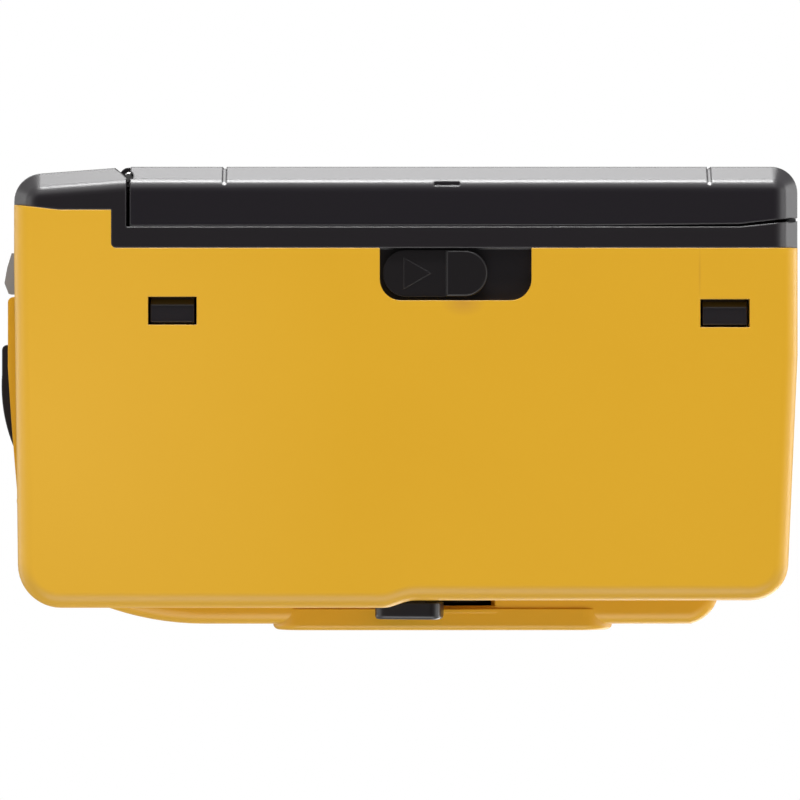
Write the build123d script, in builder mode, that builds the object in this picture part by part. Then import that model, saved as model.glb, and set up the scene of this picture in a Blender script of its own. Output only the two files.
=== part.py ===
from build123d import *
import os
from math import asin, cos, degrees, pi, radians, sin

# Compact 35 mm film camera with a hinged film door, standing upright.
# The origin is the centre of the flat underside and +Z is up.
# The lens looks along -Y, the battery side is +X and the grip side is -X.

os.makedirs("parts", exist_ok=True)

# Driving dimensions, outer body
half_width = 62.6
body_height = 78.0
back_y = 35.2
grip_front_y = -34.4
battery_front_y = -35.6
wall = 2.0
top_split_z = body_height - 13.8
back_bevel = 2.85
bevel_blend = 3.0
bottom_round = 2.5
top_round = 4.0
rim_front_y = 22.1
rim_rear_y = 25.5
cap_front_y = 28.2
door_edge_x = half_width - 18.4
cap_step_x = door_edge_x + 3.0
groove_gap = 0.6
seam_gap = 0.3
fit_gap = 0.05
part_gap = 0.3

# Driving dimensions, lens and front panel
boss_radius = 26.5
boss_drop = 24.35
boss_foot_half_width = 28.0
boss_foot_round = 5.0
chamber_x = door_edge_x - 15.2
lens_x = chamber_x - 35.0
lens_z = top_split_z - boss_radius - 0.7
boss_front_y = -39.7
boss_bore_radius = 23.5
panel_front_y = -38.7
panel_low_x = -half_width + 11.7
panel_high_x = half_width - 11.8
panel_low_z = 13.0
panel_high_z = body_height - 1.8

# Driving dimensions, film path
film_width = 35.0
gate_width = 36.0
gate_height = 24.0
film_plane_y = 21.4
chamber_radius = 13.0
chamber_y = 9.4
spool_chamber_radius = 9.8
spool_x = -half_width + 13.4
spool_y = 9.8
sprocket_x = spool_x + 17.6
sprocket_y = 15.0
chassis_low_z = 8.2
chassis_high_z = top_split_z - 1.6
chassis_floor = 1.6


def box_between(x_range, y_range, z_range, mode=Mode.ADD):
    """Box given by its limits along X, Y and Z."""
    limits = (x_range, y_range, z_range)
    centre = tuple((low + high) / 2 for low, high in limits)
    with Locations(centre):
        Box(*(high - low for low, high in limits), mode=mode)


def rod_x(y, z, radius, x_range, mode=Mode.ADD):
    """Cylinder along X."""
    with Locations(((x_range[0] + x_range[1]) / 2, y, z)):
        Cylinder(radius, x_range[1] - x_range[0], rotation=(0, 90, 0), mode=mode)


def rod_y(x, z, radius, y_range, mode=Mode.ADD):
    """Cylinder along Y."""
    with Locations((x, (y_range[0] + y_range[1]) / 2, z)):
        Cylinder(radius, y_range[1] - y_range[0], rotation=(90, 0, 0), mode=mode)


def rod_z(x, y, radius, z_range, mode=Mode.ADD):
    """Cylinder along Z."""
    with Locations((x, y, (z_range[0] + z_range[1]) / 2)):
        Cylinder(radius, z_range[1] - z_range[0], mode=mode)


def front_plane(y):
    """Upright plane at the given Y, whose normal looks forwards along -Y."""
    return Plane.XZ.offset(-y)


def corner_of(sketch, x, y):
    """Corner of a sketch that lies nearest to a point."""
    return sketch.vertices().sort_by_distance((x, y, 0))[0]


def finish(builder, name):
    """Label a finished piece and write its file."""
    builder.part.label = name
    export_step(builder.part, f"parts/{name}.step")


# Outline of the body seen from above
cap_corner_y = back_y - 1.4
grip_waist_y = 5.0
grip_swell = 0.25
side_draw = 1.5
step_round = 6.0
battery_waist_y = 20.0

with BuildSketch() as outline:
    with BuildLine():
        Polyline(
            (-half_width - grip_swell, grip_waist_y),
            (-half_width - grip_swell, back_y),
            (door_edge_x, back_y),
            (half_width + 0.3, cap_corner_y),
            (half_width + 0.3, battery_waist_y),
            (half_width - 0.4, battery_front_y),
            (2.9, battery_front_y),
            (-0.6, grip_front_y),
            (-half_width + side_draw, grip_front_y),
            close=True,
        )
    make_face()
    for x, y, radius in (
        (-half_width - grip_swell, back_y, 4.2),
        (half_width + 0.3, cap_corner_y, 4.5),
        (half_width - 0.4, battery_front_y, 7.0),
        (2.9, battery_front_y, step_round),
        (-0.6, grip_front_y, step_round),
        (-half_width + side_draw, grip_front_y, 6.0),
    ):
        fillet(corner_of(outline, x, y), radius)
body_outline = outline.sketch

with BuildSketch() as inner:
    add(body_outline)
    offset(amount=-wall, mode=Mode.REPLACE)
inner_outline = inner.sketch

cavity_low_z = wall
cavity_high_z = body_height - wall
with BuildPart() as cavity:
    with BuildSketch(Plane.XY.offset(cavity_low_z)):
        add(inner_outline)
    extrude(amount=cavity_high_z - cavity_low_z)

# Share of the body that is yellow, seen from above
far = 90.0
with BuildPart() as yellow_zone:
    with BuildSketch(Plane.XY.offset(-far)) as zone_plan:
        with BuildLine():
            Polyline(
                (-far, -far),
                (far, -far),
                (far, cap_front_y + 4.0),
                (half_width - 7.0, cap_front_y),
                (cap_step_x, cap_front_y),
                (cap_step_x, rim_front_y),
                (-far, rim_front_y),
                close=True,
            )
        make_face()
        fillet(corner_of(zone_plan, cap_step_x, rim_front_y), 0.8)
    extrude(amount=3 * far)

# Front panel, a raised shape on the front of the shell
panel_round = 2.0
panel_rise = 18.0
with BuildPart() as panel:
    with BuildSketch(Plane.XY.offset(panel_low_z)) as panel_plan:
        with BuildLine():
            rise = ThreePointArc(
                (panel_high_x, battery_front_y + 0.4),
                (panel_high_x - panel_rise / 2, panel_front_y + 0.85),
                (panel_high_x - panel_rise, panel_front_y),
            )
            face_line = Line(rise @ 1, (panel_low_x + 4.5, panel_front_y))
            fall = ThreePointArc(
                face_line @ 1,
                (panel_low_x + 1.7, panel_front_y + 1.5),
                (panel_low_x, grip_front_y + 0.4),
            )
            Polyline(fall @ 1, (panel_low_x, grip_front_y + 1.5), (panel_high_x, grip_front_y + 1.5), rise @ 0)
        make_face()
    extrude(amount=panel_high_z - panel_low_z)
    fillet(
        panel.edges().filter_by_position(Axis.Y, panel_front_y - 0.1, battery_front_y - 0.6)
        .filter_by(Axis.Z, reverse=True),
        panel_round,
    )

boss_root_y = panel_front_y + 2.5
boss_edge = 0.9


def lens_plane(y):
    """Front plane with its origin on the lens axis."""
    return Plane(origin=(lens_x, y, lens_z), x_dir=(1, 0, 0), z_dir=(0, -1, 0))


with BuildPart() as boss:
    with BuildSketch(lens_plane(boss_root_y)) as boss_plan:
        Circle(boss_radius)
        with Locations((0, -far / 2)):
            Rectangle(2 * far, far, mode=Mode.SUBTRACT)
        with BuildLine():
            Polyline(
                (-boss_radius, 0), (-boss_foot_half_width, -boss_drop), (boss_foot_half_width, -boss_drop),
                (boss_radius, 0), close=True,
            )
        make_face()
        for side in (-1, 1):
            fillet(corner_of(boss_plan, side * boss_foot_half_width, -boss_drop), boss_foot_round)
    extrude(amount=boss_root_y - boss_front_y)
    fillet(boss.faces().sort_by(Axis.Y)[0].edges(), boss_edge)

# Lever slot and shelf under the lens boss
lever_rest_angle = 10.5
lever_travel = 21.0
lever_half_width = 5.4
lever_tab_inner = 27.3
lever_tab_outer = 32.6
lever_tab_y = (-37.6, -34.9)
lever_arm_y = (boss_front_y + 4.3, boss_front_y + 5.1)
lever_reach = lever_travel / 2 + degrees(asin(lever_half_width / lever_tab_inner)) + 1.5


def lever_sector(inner_radius, outer_radius, half_angle):
    """Ring sector centred straight below the lens axis, as a closed sketch in the front plane."""
    with BuildSketch(mode=Mode.PRIVATE) as sector:
        with BuildLine():
            inner_arc = CenterArc((0, 0), inner_radius, 270 - half_angle, 2 * half_angle)
            outer_arc = CenterArc((0, 0), outer_radius, 270 - half_angle, 2 * half_angle)
            Line(inner_arc @ 0, outer_arc @ 0)
            Line(inner_arc @ 1, outer_arc @ 1)
        make_face()
    return sector.sketch


# Whole yellow moulding before it is parted into front shell and top cover
with BuildPart() as yellow_block:
    with BuildSketch():
        add(body_outline)
    extrude(amount=body_height)
    fillet(yellow_block.edges().group_by(Axis.Z)[0], bottom_round)
    fillet(yellow_block.edges().group_by(Axis.Z)[-1], top_round)
    add(panel.part)
    add(boss.part)
    add(yellow_zone.part, mode=Mode.INTERSECT)
    add(cavity.part, mode=Mode.SUBTRACT)

# Recesses of the underside
latch_recess_x = (-20.1, 4.2)
latch_recess_y = 13.7
latch_recess_round = 3.4
snap_windows = (
    ((half_width - 29.1, half_width - 21.3), (9.8, 14.3)),
    ((-half_width + 7.6, -half_width + 15.5), (9.4, 13.9)),
)

# Battery side
battery_axis_x = half_width - 1.0
battery_axis_y = -18.6
battery_door_y = (battery_axis_y + 0.4, 14.4)
battery_door_z = (7.6, top_split_z - 2.2)
battery_knuckle = 1.6
battery_relief = 2.6
battery_pin_radius = 0.8
battery_door_outer_x = half_width + 1.7
battery_knuckle_z = (12.0, 24.0, battery_door_z[1] - 17.0, battery_door_z[1] - 5.0)

# Strap lug
strap_y = (15.5, 22.3)
strap_z = (top_split_z - 28.2, top_split_z - 22.2)
strap_inner_x = half_width - 1.4
strap_opening_x = half_width + 2.6
strap_metal = 0.8

boss_floor_y = grip_front_y + wall
panel_cavity_x = (panel_low_x + wall + 1.0, panel_high_x - 16.0)
panel_cavity_y = (panel_front_y + wall, grip_front_y + wall + 0.5)
screw_seats = ((8.0, 9.0), (8.0, top_split_z - 4.2))
screw_head_radius = 1.9
screw_shank_radius = 1.0

with BuildPart() as front_shell:
    add(yellow_block.part)
    split(bisect_by=Plane.XY.offset(top_split_z), keep=Keep.BOTTOM)
    box_between(panel_cavity_x, panel_cavity_y, (panel_low_z + wall, far), mode=Mode.SUBTRACT)
    rod_y(lens_x, lens_z, boss_radius - 0.6, (panel_cavity_y[0] - 0.1, boss_root_y))
    rod_y(lens_x, lens_z, boss_bore_radius, (boss_front_y - 1, boss_floor_y + 1), mode=Mode.SUBTRACT)
    with BuildSketch(Plane.XY.offset(-0.1)) as recess_plan:
        with Locations(((latch_recess_x[0] + latch_recess_x[1]) / 2, (latch_recess_y + rim_front_y) / 2)):
            Rectangle(latch_recess_x[1] - latch_recess_x[0], rim_front_y - latch_recess_y)
        fillet(recess_plan.vertices().group_by(Axis.Y)[0], latch_recess_round)
    extrude(amount=wall + 0.2, mode=Mode.SUBTRACT)
    for window_x, window_y in snap_windows:
        box_between(window_x, window_y, (-0.1, wall + 0.1), mode=Mode.SUBTRACT)
    with BuildSketch(lens_plane(lever_tab_y[1] + part_gap)):
        add(lever_sector(lever_tab_inner - 0.7, lever_tab_outer + 0.7, lever_reach))
    extrude(amount=8, mode=Mode.SUBTRACT)
    with BuildSketch(lens_plane(lever_arm_y[1] + part_gap)):
        add(lever_sector(boss_bore_radius - 1, lever_tab_inner + 0.5, lever_travel / 2 + 9))
    extrude(amount=lever_arm_y[1] - lever_arm_y[0] + 2 * part_gap, mode=Mode.SUBTRACT)
    box_between(
        (half_width - 2.4, far), (battery_door_y[0], battery_door_y[1] + seam_gap),
        (battery_door_z[0] - seam_gap, battery_door_z[1] + seam_gap), mode=Mode.SUBTRACT,
    )
    rod_z(
        battery_axis_x, battery_axis_y, battery_relief,
        (battery_door_z[0] - seam_gap, battery_door_z[1] + seam_gap), mode=Mode.SUBTRACT,
    )
    middle_knuckle_z = (battery_knuckle_z[1] + part_gap, battery_knuckle_z[2] - part_gap)
    rod_z(battery_axis_x, battery_axis_y, battery_knuckle, middle_knuckle_z)
    box_between(
        (battery_axis_x - 1.0, battery_axis_x + 0.6), (battery_axis_y - 3.2, battery_axis_y - 0.5),
        middle_knuckle_z,
    )
    rod_z(battery_axis_x, battery_axis_y, battery_pin_radius + fit_gap, battery_door_z, mode=Mode.SUBTRACT)
    for leg_z in (strap_z[0], strap_z[1] - strap_metal):
        box_between(
            (strap_inner_x - fit_gap, far), (strap_y[0] - fit_gap, strap_y[1] + fit_gap),
            (leg_z - fit_gap, leg_z + strap_metal + fit_gap), mode=Mode.SUBTRACT,
        )
    for screw_y, screw_z in screw_seats:
        rod_x(screw_y, screw_z, screw_shank_radius + fit_gap, (-far, -half_width + 4), mode=Mode.SUBTRACT)
        rod_x(screw_y, screw_z, screw_head_radius + fit_gap, (-far, -half_width + 0.9), mode=Mode.SUBTRACT)
finish(front_shell, "front_shell")

# Windows and buttons of the top cover
finder_x = lens_x + 10.0
finder_z = body_height - 7.8
finder_half_width = 7.4
finder_half_height = 3.5
fascia_x = (lens_x - 28.0, lens_x + 22.0)
fascia_z = (finder_z - 4.0, finder_z + 4.0)
fascia_depth = 1.2
flash_x = (fascia_x[1] + 3.5, panel_high_x - 10.3)
focus_window_x = (lens_x - 22.0, lens_x - 8.0)
focus_window_size = 5.0
shutter_x = -half_width + 16.6
shutter_y = -8.0
button_radius = 6.0
button_spots = (("flash_button", finder_x + 20.0, 4.0), ("timer_button", finder_x + 30.0, 4.0))
small_button_radius = 3.0
counter_x = sprocket_x + 5.6
counter_y = sprocket_y - 7.0
counter_disc_z = (body_height - 5.0, body_height - 4.2)
counter_radius = 8.4
counter_window_y = 2.6
counter_window_radius = 2.6

with BuildPart() as top_cover:
    add(yellow_block.part)
    split(bisect_by=Plane.XY.offset(top_split_z + 0.15), keep=Keep.TOP)
    box_between(panel_cavity_x, panel_cavity_y, (0, panel_high_z - wall), mode=Mode.SUBTRACT)
    box_between(fascia_x, (-far, panel_front_y + fascia_depth), fascia_z, mode=Mode.SUBTRACT)
    box_between(flash_x, (-far, grip_front_y + wall), fascia_z, mode=Mode.SUBTRACT)
    box_between(
        (finder_x - finder_half_width - fit_gap, finder_x + finder_half_width + fit_gap),
        (-far, grip_front_y + wall + 1),
        (finder_z - finder_half_height - fit_gap, finder_z + finder_half_height + fit_gap), mode=Mode.SUBTRACT,
    )
    for window_x in focus_window_x:
        rod_y(
            window_x, finder_z, focus_window_size / 2 - 0.4, (-far, grip_front_y + wall + 1), mode=Mode.SUBTRACT
        )
    rod_z(shutter_x, shutter_y, button_radius + part_gap, (top_split_z, far), mode=Mode.SUBTRACT)
    for _, spot_x, spot_y in button_spots:
        rod_z(spot_x, spot_y, small_button_radius + part_gap, (top_split_z, far), mode=Mode.SUBTRACT)
    rod_z(counter_x, counter_window_y, counter_window_radius, (top_split_z, far), mode=Mode.SUBTRACT)
finish(top_cover, "top_cover")

# Film door, its seam and its hinge
door_low_z = 0.1
door_high_z = top_split_z - 0.2
hinge_x = door_edge_x + groove_gap / 2
hinge_depth = 1.6
hinge_y = back_y - hinge_depth
hinge_knuckle = 1.55
hinge_relief = 2.65
hinge_pin_radius = 0.75
hinge_breaks = (4.0, 13.0, 25.0, door_high_z - 25.0, door_high_z - 13.0, door_high_z - 4.0)
seam_bend_x = -half_width + 9.2
door_wall = 1.8
ring_low_z = 9.8
ring_high_z = door_high_z - 2.8
ring_low_x = -half_width + 5.2
ring_high_x = door_edge_x - 2.0
lip_low_z = 5.0
lip_high_z = door_high_z - 2.0
lip_low_x = -half_width + 3.2
lip_thickness = 1.0
lip_play = 0.4
lip_front_y = 24.0
door_window_x = (chamber_x + 2.4, chamber_x + 9.6)
door_window_z = (door_high_z - 36.0, door_high_z - 10.0)
panel_line_x = (-half_width + 14.0, half_width - 33.5)
panel_line_width = 0.6
panel_line_depth = 0.3
dent_x = (-8.6, -4.5)
lug_x = (-half_width + 13.6, -half_width + 17.6)
lug_z = (5.4, 7.4)
lug_front_y = 19.6
plate_post_spots = ((lens_x - 13.0, lens_z + 11.5), (lens_x + 13.0, lens_z - 11.5))
plate_post_radius = 1.0
plate_y = (21.65, 22.45)


def seam_zone(front_points, edge_x, low_z, high_z):
    """Solid behind a seam line that is given from the hinge to the grip side."""
    with BuildPart(mode=Mode.PRIVATE) as zone:
        with BuildSketch(Plane.XY.offset(low_z)):
            with BuildLine():
                Polyline(*front_points, (-far, front_points[-1][1]), (-far, far), (edge_x, far), close=True)
            make_face()
        extrude(amount=high_z - low_z)
    return zone.part


frame_seam = seam_zone(
    ((door_edge_x + groove_gap, rim_rear_y), (seam_bend_x, rim_rear_y), (-half_width, rim_rear_y + 0.95)),
    door_edge_x + groove_gap, -1.0, door_high_z + seam_gap,
)
door_seam = seam_zone(
    ((door_edge_x, rim_rear_y + 0.12), (-31.0, rim_rear_y + 0.22), (seam_bend_x, rim_rear_y + 0.45),
     (-half_width, rim_rear_y + 1.5)),
    door_edge_x, -1.0, door_high_z,
)

black_start_y = rim_front_y - 1.0
inside_back_y = back_y - wall


def black_block(low_z):
    """Rear part of the body, bevelled along the bottom and rounded along the top."""
    with BuildPart(mode=Mode.PRIVATE) as block:
        with BuildSketch(Plane.XY.offset(low_z)):
            add(body_outline)
            with Locations((0, black_start_y + far / 2)):
                Rectangle(2 * far, far, mode=Mode.INTERSECT)
        extrude(amount=body_height - low_z)
        for edge_work, size in ((chamfer, back_bevel), (fillet, bevel_blend)):
            outer_edges = block.edges().filter_by_position(Axis.Y, black_start_y + 0.1, far)
            edge_work(outer_edges.group_by(Axis.Z)[0], size)
        outer_edges = block.edges().filter_by_position(Axis.Y, black_start_y + 0.1, far)
        fillet(outer_edges.group_by(Axis.Z)[-1], top_round)
        add(yellow_zone.part, mode=Mode.SUBTRACT)
    return block.part



tongue_z = (wall + 0.2, wall + 1.4)
latch_stem_x = (-6.0, 1.0)
latch_stem_y = (16.6, 19.4)
latch_travel = 6.4
eyepiece_half_width = 5.6
eyepiece_half_height = 2.6
rewind_button_x = half_width - 9.6
rewind_button_z = 20.0
rewind_button_radius = 1.4
door_roof = 2.0
cap_hollow_x = door_edge_x + groove_gap + hinge_relief - groove_gap / 2 + 0.9

with BuildPart() as cap_hollow:
    add(cavity.part)
    box_between((cap_hollow_x, far), (0, far), (0, far), mode=Mode.INTERSECT)

with BuildPart() as roof_hollow:
    add(cavity.part)
    box_between((-far, far), (0, far), (door_high_z + seam_gap + door_roof, far), mode=Mode.INTERSECT)


def hinge_barrel(starts_and_ends):
    """Add knuckles round the door's hinge axis to the part being built."""
    for low_z, high_z in starts_and_ends:
        rod_z(hinge_x, hinge_y, hinge_knuckle, (low_z, high_z))


def knuckle_limits(lows, highs):
    """Start and end of each knuckle, with half of the gap taken off both ends."""
    return [(low + part_gap / 2, high - part_gap / 2) for low, high in zip(lows, highs)]


door_knuckles = knuckle_limits(hinge_breaks[1::2], hinge_breaks[2::2])
frame_knuckles = knuckle_limits(hinge_breaks[::2], hinge_breaks[1::2])
hook_play = 0.4
relief_low_z = back_bevel - hinge_depth
relief_full_z = back_bevel
corner_sweep = (hinge_depth ** 2 + (groove_gap / 2) ** 2) ** 0.5 + 0.2
corner_sweep_x = 1.2 * hinge_depth + 0.25

# room that the turned door's low corner needs in the cap
with BuildPart() as corner_room:
    with BuildSketch(Plane.XZ.offset(-hinge_y)):
        with BuildLine():
            Polyline(
                (hinge_x, relief_low_z), (hinge_x + 0.3, relief_low_z), (hinge_x + corner_sweep_x, relief_full_z),
                (hinge_x + corner_sweep_x, hinge_breaks[0]), (hinge_x, hinge_breaks[0]), close=True,
            )
        make_face()
    extrude(amount=-10.0)

with BuildPart() as rear_frame:
    add(black_block(0.0))
    add(frame_seam, mode=Mode.SUBTRACT)
    box_between((ring_low_x, ring_high_x), (0, far), (ring_low_z, ring_high_z), mode=Mode.SUBTRACT)
    add(cap_hollow.part, mode=Mode.SUBTRACT)
    add(roof_hollow.part, mode=Mode.SUBTRACT)
    relief_start_z = hinge_breaks[0] - part_gap
    rod_z(hinge_x, hinge_y, hinge_relief, (relief_start_z, door_high_z + seam_gap), mode=Mode.SUBTRACT)
    rod_z(hinge_x, hinge_y, corner_sweep, (relief_full_z, relief_start_z), mode=Mode.SUBTRACT)
    with Locations((hinge_x, hinge_y, (relief_low_z + relief_full_z) / 2)):
        Cone(0.5, corner_sweep, relief_full_z - relief_low_z, mode=Mode.SUBTRACT)
    add(corner_room.part, mode=Mode.SUBTRACT)
    hinge_barrel(frame_knuckles)
    for knuckle_z in frame_knuckles:
        box_between((hinge_x, hinge_x + hinge_relief + 0.4), (hinge_y - hinge_knuckle, hinge_y), knuckle_z)
    pin_hole_z = (hinge_breaks[0] - 1, hinge_breaks[-1] + 1)
    rod_z(hinge_x, hinge_y, hinge_pin_radius + fit_gap, pin_hole_z, mode=Mode.SUBTRACT)
    # groove that the door's lip enters, along the bottom, the top and the grip side
    groove_y = (lip_front_y - part_gap, far)
    for lip_z in (lip_low_z, lip_high_z - lip_thickness):
        box_between(
            (lip_low_x - lip_play, door_edge_x - door_wall + lip_play), groove_y,
            (lip_z - lip_play, lip_z + lip_thickness + lip_play), mode=Mode.SUBTRACT,
        )
    box_between(
        (lip_low_x - lip_play, lip_low_x + lip_thickness + lip_play), groove_y, (lip_low_z, lip_high_z),
        mode=Mode.SUBTRACT,
    )
    # slot that lets the door's latch lug through
    box_between((lug_x[0] - 1, lug_x[1] + 1), (0, far), (lug_z[0] - 0.4, lug_z[1] + 0.4), mode=Mode.SUBTRACT)
    # recess floor under the latch slider, with the slot for its stem
    box_between(
        (latch_recess_x[0] - 2, latch_recess_x[1] + 2), (latch_recess_y - 2, rim_front_y + 1), tongue_z
    )
    box_between(
        (latch_stem_x[0] - latch_travel - part_gap, latch_stem_x[1] + part_gap),
        (latch_stem_y[0] - part_gap, latch_stem_y[1] + part_gap), (0, tongue_z[1] + 1), mode=Mode.SUBTRACT,
    )
    # snap hooks that hold the front shell
    for window_x, window_y in snap_windows:
        hook_x = (window_x[0] + hook_play, window_x[1] - hook_play)
        box_between(hook_x, (window_y[0] - 0.6, rim_front_y + 1), tongue_z)
        with BuildSketch(Plane.YZ.offset(hook_x[0])):
            with BuildLine():
                Polyline(
                    (window_y[0] + hook_play, tongue_z[0] + 0.1), (window_y[0] + hook_play, 0.6),
                    (window_y[1] - 1.3, 0.6), (window_y[1] - hook_play, 1.7),
                    (window_y[1] - hook_play, tongue_z[0] + 0.1), close=True,
                )
            make_face()
        extrude(amount=hook_x[1] - hook_x[0])
    # eyepiece and rewind button holes
    box_between(
        (finder_x - eyepiece_half_width, finder_x + eyepiece_half_width), (rim_rear_y, far),
        (finder_z - eyepiece_half_height, finder_z + eyepiece_half_height), mode=Mode.SUBTRACT,
    )
    rewind_hole_radius = rewind_button_radius + part_gap
    rod_y(rewind_button_x, rewind_button_z, rewind_hole_radius, (rim_rear_y, far), mode=Mode.SUBTRACT)
finish(rear_frame, "rear_frame")

bevel_low_y = back_y - back_bevel
with BuildPart() as panel_lines:
    for line_x in panel_line_x:
        with BuildSketch(Plane.YZ.offset(line_x - panel_line_width / 2)):
            with BuildLine():
                Polyline(
                    (bevel_low_y - panel_line_depth, -1.0),
                    (bevel_low_y - panel_line_depth, door_low_z),
                    (back_y - panel_line_depth, door_low_z + back_bevel),
                    (back_y - panel_line_depth, far),
                    (far, far),
                    (far, -1.0),
                    close=True,
                )
            make_face()
        extrude(amount=panel_line_width)

with BuildPart() as door_hollow:
    with BuildSketch(Plane.XY.offset(door_low_z + door_wall)):
        add(inner_outline)
    extrude(amount=door_high_z - door_low_z - 2 * door_wall)
    box_between((-far, door_edge_x - door_wall), (0, far), (0, far), mode=Mode.INTERSECT)

with BuildPart() as film_door:
    add(black_block(door_low_z))
    add(door_seam, mode=Mode.INTERSECT)
    add(door_hollow.part, mode=Mode.SUBTRACT)
    add(panel_lines.part, mode=Mode.SUBTRACT)
    for low_z, high_z in frame_knuckles:
        rod_z(
            hinge_x, hinge_y, hinge_knuckle + part_gap, (low_z - part_gap / 2, high_z + part_gap / 2),
            mode=Mode.SUBTRACT,
        )
    hinge_barrel(door_knuckles)
    rod_z(hinge_x, hinge_y, hinge_pin_radius + fit_gap, (door_low_z - 1, door_high_z + 1), mode=Mode.SUBTRACT)
    # light-trap lip on three sides
    lip_y = (lip_front_y, inside_back_y + 0.2)
    box_between((lip_low_x, door_edge_x - door_wall), lip_y, (lip_low_z, lip_low_z + lip_thickness))
    box_between((lip_low_x, door_edge_x - door_wall), lip_y, (lip_high_z - lip_thickness, lip_high_z))
    box_between((lip_low_x, lip_low_x + lip_thickness), lip_y, (lip_low_z, lip_high_z))
    # latch lug, window and posts of the pressure plate
    box_between(lug_x, (lug_front_y, inside_back_y + 0.2), lug_z)
    box_between(door_window_x, (inside_back_y - 1, far), door_window_z, mode=Mode.SUBTRACT)
    box_between(dent_x, (bevel_low_y - 0.3, bevel_low_y + 0.6), (-1, door_low_z + 0.5), mode=Mode.SUBTRACT)
    for post_x, post_z in plate_post_spots:
        rod_y(post_x, post_z, plate_post_radius, (plate_y[0] + 0.3, inside_back_y + 0.2))
        rod_y(post_x, post_z, 2 * plate_post_radius, (plate_y[1] + 1.4, inside_back_y + 0.2))
finish(film_door, "film_door")

# Pieces on the door
with BuildPart() as hinge_pin:
    rod_z(hinge_x, hinge_y, hinge_pin_radius, (hinge_breaks[0] - 0.8, hinge_breaks[-1] + 0.8))
    chamfer(hinge_pin.edges().filter_by(GeomType.CIRCLE), 0.2)
finish(hinge_pin, "hinge_pin")

with BuildPart() as door_window:
    box_between(door_window_x, (inside_back_y + 0.6, back_y - 0.1), door_window_z)
    box_between(
        (door_window_x[0] - 1.2, door_window_x[1] + 1.2), (inside_back_y - 0.9, inside_back_y),
        (door_window_z[0] - 1.2, door_window_z[1] + 1.2),
    )
    box_between(door_window_x, (inside_back_y - 0.1, inside_back_y + 0.7), door_window_z)
finish(door_window, "door_window")

with BuildPart() as door_seal:
    box_between(
        (door_window_x[0] - 2.4, door_window_x[1] + 2.4), (inside_back_y - 6.0, inside_back_y - 0.9),
        (door_window_z[0] - 2.4, door_window_z[1] + 2.4),
    )
    box_between(door_window_x, (0, far), door_window_z, mode=Mode.SUBTRACT)
finish(door_seal, "door_seal")

plate_x = (lens_x - 18.4, lens_x + 19.4)
plate_z = (lens_z - 16.5, lens_z + 16.5)
plate_round = 2.0
with BuildPart() as pressure_plate:
    with BuildSketch(front_plane(plate_y[1])) as plate_face:
        with Locations(((plate_x[0] + plate_x[1]) / 2, lens_z)):
            RectangleRounded(plate_x[1] - plate_x[0], plate_z[1] - plate_z[0], plate_round)
        with Locations(*plate_post_spots):
            Circle(plate_post_radius + fit_gap, mode=Mode.SUBTRACT)
    extrude(amount=plate_y[1] - plate_y[0])
finish(pressure_plate, "pressure_plate")

spring_rise = 9.6
spring_strip = 0.3
spring_half_width = 4.0
spring_x = (lens_x - 15.0, lens_x + 16.0)
with BuildPart() as pressure_spring:
    with BuildSketch(Plane.XY.offset(lens_z - spring_half_width)):
        with BuildLine():
            middle_x = (spring_x[0] + spring_x[1]) / 2
            low = ThreePointArc(
                (spring_x[0], plate_y[1]), (middle_x, plate_y[1] + spring_rise), (spring_x[1], plate_y[1])
            )
            high = ThreePointArc(
                (spring_x[1] - spring_strip, plate_y[1]), (middle_x, plate_y[1] + spring_rise - spring_strip),
                (spring_x[0] + spring_strip, plate_y[1]),
            )
            Line(low @ 1, high @ 0)
            Line(high @ 1, low @ 0)
        make_face()
    extrude(amount=2 * spring_half_width)
finish(pressure_spring, "pressure_spring")

# Chassis with cassette chamber, film gate and spool chamber
chassis_x = (-half_width + 2.8, chamber_x + chamber_radius + 1.4)
chassis_y = (chamber_y - chamber_radius - 1.6, rim_front_y - 0.1)
chamber_z = (chassis_low_z + chassis_floor, chassis_high_z - chassis_floor)
sprocket_pocket_radius = 6.6
sprocket_pocket_edge = 6.6
tunnel_x = (lens_x - 22.0, lens_x + 22.0)
tunnel_z = (lens_z - 16.0, lens_z + 16.0)
tunnel_front_y = -14.0
gear_tab_x = (-half_width + 4.6, spool_x + 20.2)
gear_tab_y = (-24.0, chassis_y[0] + 1)
gear_thickness = 1.4
gear_z = (6.2, 6.2 + gear_thickness)
gear_gap = 0.06
module = 0.55
spool_teeth = 30
idler_teeth = 34
pinion_teeth = 12
fork_teeth = 24
train_angle = radians(-64.0)
train_step = (spool_teeth + idler_teeth) * module / 2 + gear_gap
idler_x = spool_x + train_step * cos(train_angle)
idler_y = spool_y + train_step * sin(train_angle)
motor_step = (idler_teeth + pinion_teeth) * module / 2 + gear_gap
motor_x = idler_x + motor_step * cos(train_angle)
motor_y = idler_y + motor_step * sin(train_angle)
spool_shaft_radius = 2.0
sprocket_shaft_radius = 1.5
fork_shaft_radius = 2.2
idler_stud_radius = 1.2
motor_shaft_radius = 0.9
lens_screw_spots = [(lens_x + side * 17.6, lens_z + up * 11.0) for side in (-1, 1) for up in (-1, 1)]
lens_screw_radius = 0.8
lens_screw_depth = 5.0
spring_peg_x = -10.6
spring_peg_radius = 0.8
spring_axis_y = 20.2
spring_axis_z = 6.6

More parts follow.
